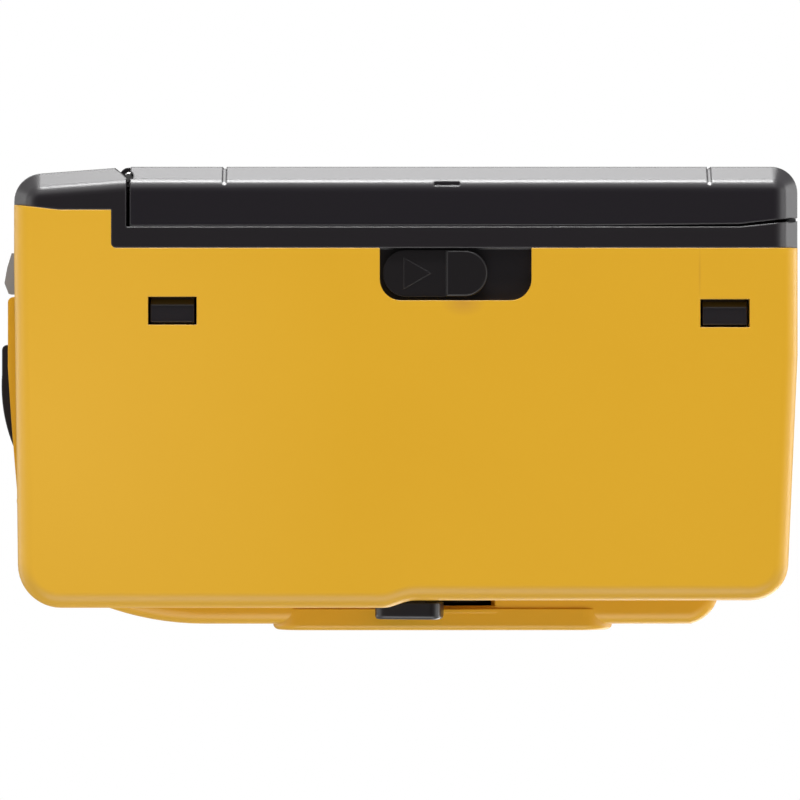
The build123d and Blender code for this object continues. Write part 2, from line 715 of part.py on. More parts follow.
with BuildPart() as chassis:
    box_between(chassis_x, chassis_y, (chassis_low_z, chassis_high_z))
    box_between(tunnel_x, (tunnel_front_y, chassis_y[0] + 1), tunnel_z)
    box_between(gear_tab_x, gear_tab_y, (chassis_low_z, chassis_low_z + chassis_floor))
    # cassette chamber, spool chamber and sprocket pocket, all open to the back
    rod_z(chamber_x, chamber_y, chamber_radius, chamber_z, mode=Mode.SUBTRACT)
    cassette_x = (chamber_x - chamber_radius, chamber_x + chamber_radius)
    box_between(cassette_x, (chamber_y, far), chamber_z, mode=Mode.SUBTRACT)
    rod_z(spool_x, spool_y, spool_chamber_radius, chamber_z, mode=Mode.SUBTRACT)
    wound_film_x = (spool_x - spool_chamber_radius, spool_x + spool_chamber_radius)
    box_between(wound_film_x, (spool_y, far), chamber_z, mode=Mode.SUBTRACT)
    rod_z(sprocket_x, sprocket_y, sprocket_pocket_radius, chamber_z, mode=Mode.SUBTRACT)
    pocket_x = (sprocket_x - sprocket_pocket_edge, sprocket_x + sprocket_pocket_edge)
    box_between(pocket_x, (sprocket_y, far), chamber_z, mode=Mode.SUBTRACT)
    # light funnel from the lens to the film gate
    with BuildSketch(front_plane(chassis_y[1] + 0.1)):
        with Locations((lens_x, lens_z)):
            Rectangle(gate_width, gate_height)
    with BuildSketch(front_plane(tunnel_front_y - 0.1)):
        with Locations((lens_x, lens_z)):
            Rectangle(gate_width * 0.55, gate_height * 0.65)
    loft(mode=Mode.SUBTRACT)
    # film channel and its rails
    channel_x = (sprocket_x + sprocket_pocket_edge - 0.1, chamber_x - chamber_radius + 0.1)
    box_between(channel_x, (film_plane_y - 0.4, far), (lens_z - 18.0, lens_z + 18.0), mode=Mode.SUBTRACT)
    for rail_z in (-16.9, -14.2, 14.2, 16.9):
        box_between(
            (channel_x[0] + 0.6, channel_x[1] - 0.6), (film_plane_y - 0.5, film_plane_y),
            (lens_z + rail_z - 0.5, lens_z + rail_z + 0.5),
        )
    # bearings
    through = (0, far)
    for shaft_x, shaft_y, shaft_radius in (
        (spool_x, spool_y, spool_shaft_radius),
        (sprocket_x, sprocket_y, sprocket_shaft_radius),
        (motor_x, motor_y, motor_shaft_radius + 0.3),
    ):
        rod_z(shaft_x, shaft_y, shaft_radius + fit_gap, through, mode=Mode.SUBTRACT)
    rod_z(chamber_x, chamber_y, fork_shaft_radius + fit_gap, (0, chamber_z[0] + 1), mode=Mode.SUBTRACT)
    rod_z(idler_x, idler_y, idler_stud_radius, (gear_z[0] - 0.5, chassis_low_z))
    for screw_x, screw_z in lens_screw_spots:
        rod_y(
            screw_x, screw_z, lens_screw_radius, (tunnel_front_y - 1, tunnel_front_y + lens_screw_depth),
            mode=Mode.SUBTRACT,
        )
    # anchor peg of the latch spring
    rod_z(spring_peg_x, spring_axis_y, spring_peg_radius, (spring_axis_z - 1.4, chassis_low_z))
finish(chassis, "chassis")


def gear_outline(teeth, phase):
    """Gear seen from above, with a tooth centred on the direction given by phase in radians."""
    pitch_angle = 2 * pi / teeth
    pitch_radius = module * teeth / 2
    root_radius = pitch_radius - 1.15 * module
    tip_radius = pitch_radius + 0.85 * module
    root_half = 0.30 * pitch_angle
    pitch_half = 0.215 * pitch_angle
    tip_half = 0.09 * pitch_angle
    points = []
    for tooth in range(teeth):
        middle = phase + tooth * pitch_angle
        for radius, angle in (
            (root_radius, middle - root_half),
            (pitch_radius, middle - pitch_half),
            (tip_radius, middle - tip_half),
            (tip_radius, middle + tip_half),
            (pitch_radius, middle + pitch_half),
            (root_radius, middle + root_half),
        ):
            points.append((radius * cos(angle), radius * sin(angle)))
    return points


def gear_face(x, y, teeth, phase, low_z, bore_radius):
    """Face of a spur gear with a bore, ready to be extruded upwards."""
    with BuildSketch(Plane(origin=(x, y, low_z)), mode=Mode.PRIVATE) as face:
        with BuildLine():
            Polyline(*gear_outline(teeth, phase), close=True)
        make_face()
        if bore_radius > 0:
            Circle(bore_radius, mode=Mode.SUBTRACT)
    return face.sketch


def meshed_phase(driver_teeth, driver_phase, teeth, direction):
    """Phase of a gear whose gap meets the tooth of its driver, which lies in the opposite direction."""
    driver_pitch = 2 * pi / driver_teeth
    lag = (direction - driver_phase) % driver_pitch
    return direction + pi + lag * driver_teeth / teeth + pi / teeth


spool_phase = train_angle
idler_phase = meshed_phase(spool_teeth, spool_phase, idler_teeth, train_angle)
pinion_phase = meshed_phase(idler_teeth, idler_phase, pinion_teeth, train_angle)

with BuildPart() as spool_gear:
    spool_gear_face = gear_face(spool_x, spool_y, spool_teeth, spool_phase, gear_z[0], spool_shaft_radius)
    extrude(spool_gear_face, amount=gear_thickness)
finish(spool_gear, "spool_gear")

with BuildPart() as idler_gear:
    idler_bore = idler_stud_radius + fit_gap
    extrude(gear_face(idler_x, idler_y, idler_teeth, idler_phase, gear_z[0], idler_bore), amount=gear_thickness)
finish(idler_gear, "idler_gear")

motor_z = (chassis_low_z + chassis_floor, 44.0)
motor_radius = 5.8
with BuildPart() as winding_motor:
    rod_z(motor_x, motor_y, motor_radius, motor_z)
    fillet(winding_motor.edges().filter_by(GeomType.CIRCLE), 0.8)
    rod_z(motor_x, motor_y, 2.4, (motor_z[1] - 0.1, motor_z[1] + 1.2))
    rod_z(motor_x, motor_y, motor_shaft_radius + fit_gap, (motor_z[0] - 1, motor_z[0] + 6), mode=Mode.SUBTRACT)
finish(winding_motor, "winding_motor")

with BuildPart() as motor_pinion:
    extrude(gear_face(motor_x, motor_y, pinion_teeth, pinion_phase, gear_z[0], 0), amount=gear_thickness)
    rod_z(motor_x, motor_y, motor_shaft_radius, (gear_z[0], motor_z[0] + 5.8))
finish(motor_pinion, "motor_pinion")

spool_core_radius = 5.5
with BuildPart() as takeup_spool:
    rod_z(spool_x, spool_y, spool_shaft_radius, (gear_z[0] - 0.6, chassis_high_z - 0.3))
    rod_z(spool_x, spool_y, spool_core_radius, (chamber_z[0] + 0.4, chamber_z[1] - 0.4))
    with BuildSketch(Plane.XY.offset(lens_z - film_width / 2)):
        with Locations((spool_x, spool_y)):
            with PolarLocations(spool_core_radius, 3):
                Rectangle(1.6, 1.2)
    extrude(amount=film_width, mode=Mode.SUBTRACT)
finish(takeup_spool, "takeup_spool")

wheel_radius = 5.3
sprocket_teeth = 8
row_spacing = 28.2
with BuildPart() as sprocket:
    rod_z(sprocket_x, sprocket_y, sprocket_shaft_radius, (chassis_low_z + 0.2, counter_disc_z[0] - 1.0))
    rod_z(sprocket_x, sprocket_y, wheel_radius - 1.3, (lens_z - row_spacing / 2, lens_z + row_spacing / 2))
    for side in (-1, 1):
        row_z = lens_z + side * row_spacing / 2
        rod_z(sprocket_x, sprocket_y, wheel_radius, (row_z - 1.6, row_z + 1.6))
        with BuildSketch(Plane(origin=(sprocket_x, sprocket_y, row_z - 0.6))):
            with PolarLocations(wheel_radius + 0.1, sprocket_teeth, start_angle=22.5):
                Rectangle(1.4, 1.2)
        extrude(amount=1.2)
finish(sprocket, "sprocket")

fork_phase = 0.0
fork_blade_reach = 3.4
fork_top_z = chamber_z[0] + 3.4
with BuildPart() as rewind_fork:
    extrude(gear_face(chamber_x, chamber_y, fork_teeth, fork_phase, gear_z[0], 0), amount=gear_thickness)
    rod_z(chamber_x, chamber_y, fork_shaft_radius, (gear_z[0], fork_top_z))
    box_between(
        (chamber_x - fork_blade_reach, chamber_x + fork_blade_reach), (chamber_y - 0.6, chamber_y + 0.6),
        (chamber_z[0] + 0.4, fork_top_z - 0.4),
    )
finish(rewind_fork, "rewind_fork")

# Lens barrel, moving lens cell and shutter
barrel_radius = 17.2
barrel_bore = 15.6
barrel_y = (boss_front_y + 4.0, tunnel_front_y)
flange_radius = 21.0
flange_depth = 1.2
with BuildPart() as lens_barrel:
    rod_y(lens_x, lens_z, barrel_radius, barrel_y)
    rod_y(lens_x, lens_z, flange_radius + 1.6, (barrel_y[1] - flange_depth, barrel_y[1]))
    rod_y(lens_x, lens_z, barrel_bore, (-far, far), mode=Mode.SUBTRACT)
    for screw_x, screw_z in lens_screw_spots:
        hole_y = (barrel_y[1] - 2 * flange_depth, far)
        rod_y(screw_x, screw_z, lens_screw_radius + fit_gap, hole_y, mode=Mode.SUBTRACT)
    chamfer(lens_barrel.edges().group_by(Axis.Y)[0], 0.3)
finish(lens_barrel, "lens_barrel")

with BuildPart() as lens_screws:
    for screw_x, screw_z in lens_screw_spots:
        shank_y = (barrel_y[1] - flange_depth, tunnel_front_y + lens_screw_depth - 0.5)
        rod_y(screw_x, screw_z, lens_screw_radius, shank_y)
        rod_y(screw_x, screw_z, 1.5, (barrel_y[1] - flange_depth - 1.0, barrel_y[1] - flange_depth))
finish(lens_screws, "lens_screws")

shutter_y_range = (-18.6, tunnel_front_y - 0.1)
shutter_cavity_y = (-17.6, -15.4)
shutter_radius = barrel_bore - fit_gap
shutter_cavity_radius = 14.2
shutter_opening = 3.6
shutter_pin_z = lens_z + 11.5
shutter_pin_radius = 0.8
blade_thickness = 0.4
with BuildPart() as shutter_housing:
    rod_y(lens_x, lens_z, shutter_radius, shutter_y_range)
    rod_y(lens_x, lens_z, shutter_cavity_radius, shutter_cavity_y, mode=Mode.SUBTRACT)
    front_hole_y = (shutter_y_range[0] - 1, shutter_cavity_y[0] + 0.5)
    rod_y(lens_x, lens_z, shutter_opening, front_hole_y, mode=Mode.SUBTRACT)
    rod_y(lens_x, lens_z, shutter_opening + 2.0, (shutter_cavity_y[1] - 0.5, far), mode=Mode.SUBTRACT)
    rod_y(lens_x, shutter_pin_z, shutter_pin_radius, shutter_cavity_y)
finish(shutter_housing, "shutter_housing")

shutter_blade_radius = 6.4
shutter_overlap = 0.8
shutter_swing = 26.0


def shutter_blade_face(side, y):
    """Outline of one shutter blade, which covers the opening from one side."""
    with BuildSketch(lens_plane(y), mode=Mode.PRIVATE) as face:
        Circle(shutter_blade_radius)
        with Locations((side * (far / 2 - shutter_overlap), 0)):
            Rectangle(far, far, mode=Mode.INTERSECT)
        with BuildLine():
            Polyline(
                (-side * shutter_overlap, 4.0), (-side * 0.8, 11.5), (side * 1.8, 11.5), (side * 4.6, 4.0),
                close=True,
            )
        make_face()
        with Locations((0, shutter_pin_z - lens_z)):
            Circle(2.0)
            Circle(shutter_pin_radius + fit_gap, mode=Mode.SUBTRACT)
    return face.sketch


for name, side, blade_y in (("shutter_blade_grip", -1, -16.8), ("shutter_blade_battery", 1, -15.8)):
    with BuildPart() as blade:
        extrude(shutter_blade_face(side, blade_y), amount=blade_thickness)
    finish(blade, name)

cell_radius = barrel_bore - fit_gap
cell_y = (boss_front_y + 6.2, -20.4)
cell_bore = 8.4
focus_travel = 1.2
front_glass_radius = 8.3
rear_glass_radius = 6.0
with BuildPart() as lens_cell:
    with BuildSketch(Plane(origin=(lens_x, 0, lens_z), x_dir=(1, 0, 0), z_dir=(0, 0, 1))) as half:
        with BuildLine():
            Polyline(
                (cell_bore, cell_y[0] + 1.8), (cell_bore + 1.0, cell_y[0] + 1.2), (cell_bore + 5.2, cell_y[0]),
                (cell_radius, cell_y[0]), (cell_radius, cell_y[1]), (rear_glass_radius + fit_gap, cell_y[1]),
                (rear_glass_radius + fit_gap, cell_y[1] - 4.0), (cell_bore - 3.4, cell_y[1] - 5.0),
                (cell_bore - 3.4, cell_y[0] + 6.0), (cell_bore, cell_y[0] + 5.4), close=True,
            )
        make_face()
    revolve(axis=Axis((lens_x, 0, lens_z), (0, 1, 0)))
finish(lens_cell, "lens_cell")

glass_edge_y = cell_y[0] + 2.0
with BuildPart() as front_glass:
    with BuildSketch(Plane(origin=(lens_x, 0, lens_z), x_dir=(1, 0, 0), z_dir=(0, 0, 1))):
        with BuildLine():
            dome = ThreePointArc(
                (0, glass_edge_y - 1.9), (front_glass_radius * 0.55, glass_edge_y - 1.35),
                (front_glass_radius, glass_edge_y),
            )
            Polyline(
                dome @ 1, (front_glass_radius, glass_edge_y + 2.6), (0, glass_edge_y + 1.4), dome @ 0
            )
        make_face()
    revolve(axis=Axis((lens_x, 0, lens_z), (0, 1, 0)))
finish(front_glass, "front_glass")

with BuildPart() as rear_glass:
    rod_y(lens_x, lens_z, rear_glass_radius, (cell_y[1] - 3.8, cell_y[1] - 0.6))
    fillet(rear_glass.edges().filter_by(GeomType.CIRCLE), 0.5)
finish(rear_glass, "rear_glass")

# Lens bezel, cover blades and lever
bezel_y = (boss_front_y + 0.25, boss_front_y + 1.9)
bezel_radius = boss_bore_radius - 0.1
bezel_opening = 8.6
bezel_skirt_y = boss_front_y + 3.8
cover_pin_x = lens_x + 15.5
cover_pin_radius = 1.0
cover_layers = (boss_front_y + 2.8, boss_front_y + 3.6)
cover_thickness = 0.6
with BuildPart() as lens_bezel:
    with BuildSketch(Plane(origin=(lens_x, 0, lens_z), x_dir=(1, 0, 0), z_dir=(0, 0, 1))):
        with BuildLine():
            Polyline(
                (bezel_opening, bezel_y[1] - 0.55), (16.0, bezel_y[1] - 0.55), (18.6, bezel_y[0]),
                (bezel_radius, bezel_y[0]), (bezel_radius, bezel_skirt_y), (21.4, bezel_skirt_y),
                (21.4, bezel_y[1]), (bezel_opening, bezel_y[1]), close=True,
            )
        make_face()
    revolve(axis=Axis((lens_x, 0, lens_z), (0, 1, 0)))
    rod_y(cover_pin_x, lens_z, cover_pin_radius, (bezel_y[1] - 0.2, cover_layers[1] + 0.3))
finish(lens_bezel, "lens_bezel")

cover_blade_radius = 9.6
cover_swing = 38.0


def cover_blade_face(side, y):
    """Outline of one lens cover blade in its open place, swung back about its pin."""
    with BuildSketch(mode=Mode.PRIVATE) as closed:
        Circle(cover_blade_radius)
        with Locations((0, side * far / 2)):
            Rectangle(far, far, mode=Mode.INTERSECT)
        with BuildLine():
            Polyline((4.0, 0), (15.5, 0), (15.5, side * 2.3), (5.0, side * 8.2), close=True)
        make_face()
        with Locations((15.5, 0)):
            Circle(2.4)
            Circle(cover_pin_radius + fit_gap, mode=Mode.SUBTRACT)
    pin = Axis((15.5, 0, 0), (0, 0, 1))
    return lens_plane(y) * closed.sketch.rotate(pin, -side * cover_swing)


cover_blades = (("cover_blade_upper", 1, cover_layers[0]), ("cover_blade_lower", -1, cover_layers[1]))
for name, side, layer_y in cover_blades:
    with BuildPart() as blade:
        extrude(cover_blade_face(side, layer_y), amount=cover_thickness)
    finish(blade, name)

lever_ring_outer = 20.4


def lever_plane(y):
    """Lens plane turned to where the lever rests."""
    rest = radians(lever_rest_angle)
    return Plane(origin=(lens_x, y, lens_z), x_dir=(cos(rest), 0, sin(rest)), z_dir=(0, -1, 0))


with BuildPart() as cover_lever:
    with BuildSketch(lever_plane(lever_arm_y[1])):
        Circle(lever_ring_outer)
        Circle(barrel_radius + fit_gap, mode=Mode.SUBTRACT)
        with Locations((0, -(lever_ring_outer + lever_tab_outer) / 2 + 0.5)):
            Rectangle(6.4, lever_tab_outer - lever_ring_outer)
    extrude(amount=lever_arm_y[1] - lever_arm_y[0])
    with BuildSketch(lever_plane(lever_tab_y[1])):
        with Locations((0, -(lever_tab_inner + lever_tab_outer) / 2)):
            RectangleRounded(2 * lever_half_width, lever_tab_outer - lever_tab_inner, 1.6)
    extrude(amount=lever_tab_y[1] - lever_tab_y[0])
    fillet(cover_lever.faces().sort_by(Axis.Y)[0].edges(), 0.6)
finish(cover_lever, "cover_lever")

# Latch slider, its bar and its spring
slider_x = (-13.1, 3.7)
slider_y = (14.3, 21.8)
slider_z = (0.75, 1.95)
pad_low_z = 0.15
pad_start_x = -6.4
bar_z = (3.9, 4.9)
bar_y = (19.4, 21.4)
bar_x = (lug_x[0] - 3.0, -2.0)
nose_x = (lug_x[0] - 2.6, lug_x[0] - part_gap)
tab_x = (-31.6, -30.6)
with BuildPart() as latch_slider:
    with BuildSketch(Plane.XY.offset(slider_z[0])):
        with Locations(((slider_x[0] + slider_x[1]) / 2, (slider_y[0] + slider_y[1]) / 2)):
            SlotOverall(slider_x[1] - slider_x[0], slider_y[1] - slider_y[0])
    extrude(amount=slider_z[1] - slider_z[0])
    with BuildSketch(Plane.XY.offset(pad_low_z)):
        with Locations(((slider_x[0] + slider_x[1]) / 2, (slider_y[0] + slider_y[1]) / 2)):
            SlotOverall(slider_x[1] - slider_x[0], slider_y[1] - slider_y[0])
        with Locations((pad_start_x + far / 2, 0)):
            Rectangle(far, far, mode=Mode.SUBTRACT)
    extrude(amount=slider_z[0] - pad_low_z)
    fillet(latch_slider.faces().sort_by(Axis.Z)[0].edges(), 0.4)
    with BuildSketch(Plane.XY.offset(slider_z[0] - 0.1)):
        with Locations((-1.1, (slider_y[0] + slider_y[1]) / 2)):
            RegularPolygon(2.9, 3, rotation=180)
    extrude(amount=0.15)
    box_between(latch_stem_x, latch_stem_y, (slider_z[1] - 0.1, bar_z[1]))
finish(latch_slider, "latch_slider")

with BuildPart() as latch_bar:
    box_between(bar_x, bar_y, bar_z)
    box_between(nose_x, bar_y, (bar_z[0], lug_z[1] - 0.2))
    box_between(tab_x, bar_y, (bar_z[0], spring_axis_z + 0.6))
finish(latch_bar, "latch_bar")

latch_coil_radius = 1.0
latch_wire_radius = 0.2
latch_coil_x = (tab_x[1] + 0.2, spring_peg_x - spring_peg_radius - 0.2)
latch_pitch = 1.55


def coil(start, direction, length, pitch, mean_radius, wire_radius):
    """Round wire wound as one unbroken helix, as a finished part."""
    with BuildPart(mode=Mode.PRIVATE) as wound:
        with BuildLine():
            helix = Helix(pitch, length, mean_radius, center=start, direction=direction)
        with BuildSketch(Plane(origin=helix @ 0, z_dir=helix % 0)):
            Circle(wire_radius)
        sweep(is_frenet=True)
    return wound


latch_spring = coil((latch_coil_x[0], spring_axis_y, spring_axis_z), (1, 0, 0),
                    latch_coil_x[1] - latch_coil_x[0], latch_pitch, latch_coil_radius, latch_wire_radius)
finish(latch_spring, "latch_spring")
print("latch spring gap between turns", round(latch_pitch - 2 * latch_wire_radius, 2), "mm")

# Shutter button, its spring and the top board
board_z = (chassis_high_z + 0.1, chassis_high_z + 1.2)
stem_radius = 1.6
button_spring_radius = 2.4
button_wire_radius = 0.25
button_spring_pitch = 1.7
flange_z = (cavity_high_z - 1.4, cavity_high_z - 0.4)
button_foot_z = cavity_high_z - 3.5
shutter_travel = 1.2
with BuildPart() as shutter_button:
    rod_z(shutter_x, shutter_y, button_radius, (flange_z[1] - 0.1, body_height + 1.3))
    rod_z(shutter_x, shutter_y, button_radius + 1.2, flange_z)
    rod_z(shutter_x, shutter_y, stem_radius, (board_z[1] + shutter_travel + 0.9, flange_z[0]))
    fillet(shutter_button.faces().sort_by(Axis.Z)[-1].edges(), 0.6)
    with Locations((shutter_x, shutter_y, body_height + 1.3 + 24.0)):
        Sphere(24.4, mode=Mode.SUBTRACT)
finish(shutter_button, "shutter_button")

button_spring = coil((shutter_x, shutter_y, board_z[1] + button_wire_radius + 0.05), (0, 0, 1),
                     flange_z[0] - board_z[1] - 2 * button_wire_radius - 0.1, button_spring_pitch,
                     button_spring_radius, button_wire_radius)
finish(button_spring, "shutter_spring")
print("shutter spring gap between turns", round(button_spring_pitch - 2 * button_wire_radius, 2), "mm")

small_travel = 0.6
for name, spot_x, spot_y in button_spots:
    with BuildPart() as button:
        rod_z(spot_x, spot_y, small_button_radius, (cavity_high_z, body_height + 0.9))
        rod_z(spot_x, spot_y, small_button_radius + 0.9, (cavity_high_z - 1.1, cavity_high_z - part_gap))
        rod_z(spot_x, spot_y, 1.2, (button_foot_z, cavity_high_z + 0.1))
        fillet(button.faces().sort_by(Axis.Z)[-1].edges(), 0.5)
    finish(button, name)

with BuildPart() as rewind_button:
    rod_y(rewind_button_x, rewind_button_z, rewind_button_radius, (inside_back_y - 2.0, back_y - 1.4))
    rod_y(
        rewind_button_x, rewind_button_z, rewind_button_radius + 0.8, (inside_back_y - 3.0, inside_back_y - 1.9)
    )
    chamfer(rewind_button.faces().sort_by(Axis.Y)[-1].edges(), 0.2)
finish(rewind_button, "rewind_button")

post_radius = 1.6
counter_pin_radius = 1.0
with BuildPart() as top_board:
    box_between((-half_width + 4.6, counter_x + 14.0), (-18.0, 12.4), board_z)
    rod_z(counter_x, counter_y, post_radius, (board_z[1], counter_disc_z[0] - 0.1))
    rod_z(counter_x, counter_y, counter_pin_radius, (board_z[1], counter_disc_z[1] + 0.8))
    for chip_x, chip_y in ((shutter_x - 8.0, -1.0), (shutter_x + 8.0, -2.0), (counter_x + 8.0, -6.0)):
        box_between((chip_x - 2.5, chip_x + 2.5), (chip_y - 2.0, chip_y + 2.0), (board_z[1], board_z[1] + 1.2))
finish(top_board, "top_board")

with BuildPart() as counter_disc:
    rod_z(counter_x, counter_y, counter_radius, counter_disc_z)
    rod_z(counter_x, counter_y, counter_pin_radius + fit_gap, (0, far), mode=Mode.SUBTRACT)
    rod_z(counter_x, counter_y, counter_radius - 5.4, (counter_disc_z[1] - 0.2, far), mode=Mode.SUBTRACT)
finish(counter_disc, "counter_disc")

with BuildPart() as counter_window:
    pane_z = (cavity_high_z + 0.4, body_height - 0.2)
    rod_z(counter_x, counter_window_y, counter_window_radius - fit_gap, pane_z)
finish(counter_window, "counter_window")

# Finder, autofocus windows and eyepiece
fascia_y = (panel_front_y, panel_front_y + fascia_depth)
window_y = (panel_front_y + 0.15, panel_front_y + fascia_depth)
tunnel_wall = 1.0
sight_x = (finder_x - finder_half_width + tunnel_wall, finder_x + finder_half_width - tunnel_wall)
sight_z = (finder_z - finder_half_height + tunnel_wall, finder_z + finder_half_height - tunnel_wall)
lamp_x = sum(focus_window_x) / 2
lamp_radius = 1.3
with BuildPart() as finder_fascia:
    box_between(
        (fascia_x[0] + fit_gap, fascia_x[1] - fit_gap), fascia_y, (fascia_z[0] + fit_gap, fascia_z[1] - fit_gap)
    )
    fillet(finder_fascia.edges().filter_by(Axis.Y), 1.0)
    chamfer(finder_fascia.faces().sort_by(Axis.Y)[0].edges(), 0.2)
    box_between(sight_x, (-far, 0), sight_z, mode=Mode.SUBTRACT)
    for window_x in focus_window_x:
        rod_y(window_x, finder_z, focus_window_size / 2, (-far, 0), mode=Mode.SUBTRACT)
    rod_y(lamp_x, finder_z, lamp_radius, (-far, 0), mode=Mode.SUBTRACT)
finish(finder_fascia, "finder_fascia")

with BuildPart() as fascia_windows:
    box_between(
        (sight_x[0] + fit_gap, sight_x[1] - fit_gap), window_y, (sight_z[0] + fit_gap, sight_z[1] - fit_gap)
    )
    for window_x in focus_window_x:
        rod_y(window_x, finder_z, focus_window_size / 2 - fit_gap, window_y)
finish(fascia_windows, "fascia_windows")

with BuildPart() as timer_lamp:
    rod_y(lamp_x, finder_z, lamp_radius - fit_gap, window_y)
    fillet(timer_lamp.faces().sort_by(Axis.Y)[0].edges(), 0.3)
finish(timer_lamp, "timer_lamp")

with BuildPart() as finder_tunnel:
    box_between(
        (finder_x - finder_half_width, finder_x + finder_half_width), (fascia_y[1], inside_back_y - 0.1),
        (finder_z - finder_half_height, finder_z + finder_half_height),
    )
    box_between(sight_x, (-far, far), sight_z, mode=Mode.SUBTRACT)
finish(finder_tunnel, "finder_tunnel")

with BuildPart() as eyepiece_glass:
    box_between(
        (finder_x - eyepiece_half_width + fit_gap, finder_x + eyepiece_half_width - fit_gap),
        (inside_back_y + 0.1, back_y - 0.3),
        (finder_z - eyepiece_half_height + fit_gap, finder_z + eyepiece_half_height - fit_gap),
    )
finish(eyepiece_glass, "eyepiece_glass")

eyepiece_rim = 1.8
eyepiece_proud = 1.3
with BuildPart() as eyepiece_frame:
    with BuildSketch(front_plane(back_y + eyepiece_proud)):
        with Locations((finder_x, finder_z)):
            RectangleRounded(
                2 * (eyepiece_half_width + eyepiece_rim), 2 * (eyepiece_half_height + eyepiece_rim), eyepiece_rim
            )
            RectangleRounded(2 * eyepiece_half_width, 2 * eyepiece_half_height, 0.5, mode=Mode.SUBTRACT)
    extrude(amount=eyepiece_proud)
    fillet(eyepiece_frame.faces().sort_by(Axis.Y)[-1].edges(), 0.5)
finish(eyepiece_frame, "eyepiece_frame")

# Flash
flash_gap = 0.15
flash_skin = 1.8
with BuildPart() as flash_window:
    with BuildSketch(Plane.XY.offset(fascia_z[0] + flash_gap)):
        with BuildLine():
            front = Spline(
                (flash_x[0] + flash_gap, panel_front_y + 0.1), (panel_high_x - panel_rise, panel_front_y + 0.12),
                (panel_high_x - 14.0, panel_front_y + 0.35),
                (flash_x[1] - flash_gap, panel_front_y + 0.9),
            )
            Polyline(
                front @ 1, (flash_x[1] - flash_gap, panel_front_y + 1.45 + flash_skin),
                (flash_x[0] + flash_gap, panel_front_y + 1.45 + flash_skin), front @ 0,
            )
        make_face()
    extrude(amount=fascia_z[1] - fascia_z[0] - 2 * flash_gap)
finish(flash_window, "flash_window")

reflector_y = (panel_front_y + 1.5 + flash_skin, panel_front_y + 1.5 + flash_skin + 3.4)
reflector_metal = 0.5
with BuildPart() as flash_reflector:
    with BuildSketch(Plane.YZ.offset(flash_x[0] + 0.5)):
        with BuildLine():
            outer_bowl = ThreePointArc(
                (reflector_y[0], fascia_z[1] - 0.3), (reflector_y[1], finder_z),
                (reflector_y[0], fascia_z[0] + 0.3),
            )
            Line(outer_bowl @ 1, outer_bowl @ 0)
        make_face()
    extrude(amount=flash_x[1] - flash_x[0] - 1.0)
    with BuildSketch(Plane.YZ.offset(flash_x[0] + 0.5 + reflector_metal)):
        with BuildLine():
            inner_bowl = ThreePointArc(
                (reflector_y[0] - 0.1, fascia_z[1] - 0.3 - reflector_metal),
                (reflector_y[1] - reflector_metal, finder_z),
                (reflector_y[0] - 0.1, fascia_z[0] + 0.3 + reflector_metal),
            )
            Line(inner_bowl @ 1, inner_bowl @ 0)
        make_face()
    extrude(amount=flash_x[1] - flash_x[0] - 1.0 - 2 * reflector_metal, mode=Mode.SUBTRACT)
finish(flash_reflector, "flash_reflector")

with BuildPart() as flash_tube:
    rod_x(reflector_y[0] + 1.3, finder_z, 1.1, (flash_x[0] + 1.1, flash_x[1] - 1.1))
finish(flash_tube, "flash_tube")

capacitor_radius = 6.0
capacitor_length = 36.2
capacitor_x = -half_width + 10.6
capacitor_y = -17.2
with BuildPart() as flash_capacitor:
    rod_z(capacitor_x, capacitor_y, capacitor_radius, (motor_z[0], motor_z[0] + capacitor_length))
    fillet(flash_capacitor.edges().filter_by(GeomType.CIRCLE), 0.8)
finish(flash_capacitor, "flash_capacitor")

main_board_y = -23.2
with BuildPart() as main_board:
    board_x = (chamber_x - 10.5, chamber_x + 14.5)
    box_between(board_x, (main_board_y - 1.2, main_board_y), (wall + 0.3, chassis_high_z - 1))
    for chip_shift, chip_z, chip_width, chip_height in ((2, 40, 12, 12), (-2, 18, 8, 10), (9, 16, 5, 8)):
        chip_x = chamber_x + chip_shift
        box_between(
            (chip_x - chip_width / 2, chip_x + chip_width / 2), (main_board_y, main_board_y + 1.8),
            (chip_z - chip_height / 2, chip_z + chip_height / 2),
        )
finish(main_board, "main_board")

# Battery bay
cell_radius_aa = 7.05
cell_length = 50.0
cell_x = half_width - 9.7
cell_spots = (("battery_cell_front", -8.6), ("battery_cell_rear", 6.2))
battery_box_x = (door_edge_x + 0.7, half_width - 2.4)
battery_box_y = (-16.8, 14.4)
battery_box_z = (wall + 0.3, chassis_high_z)
battery_box_wall = 0.9
cell_low_z = 9.0
contact_thickness = 0.4
with BuildPart() as battery_box:
    box_between(battery_box_x, battery_box_y, battery_box_z)
    box_between(
        (battery_box_x[0] + battery_box_wall, far),
        (battery_box_y[0] + battery_box_wall, battery_box_y[1] - battery_box_wall),
        (cell_low_z - 1.0, cell_low_z + cell_length + 1.6), mode=Mode.SUBTRACT,
    )
    box_between(
        (0, far), (battery_box_y[0] + 2, battery_box_y[1] - 2), (0, cell_low_z - 3.0), mode=Mode.SUBTRACT
    )
finish(battery_box, "battery_box")

for name, middle_y in cell_spots:
    with BuildPart() as cell:
        rod_z(cell_x, middle_y, cell_radius_aa, (cell_low_z, cell_low_z + cell_length - 1.0))
        fillet(cell.edges().filter_by(GeomType.CIRCLE), 0.6)
        rod_z(cell_x, middle_y, 2.6, (cell_low_z + cell_length - 1.2, cell_low_z + cell_length))
    finish(cell, name)

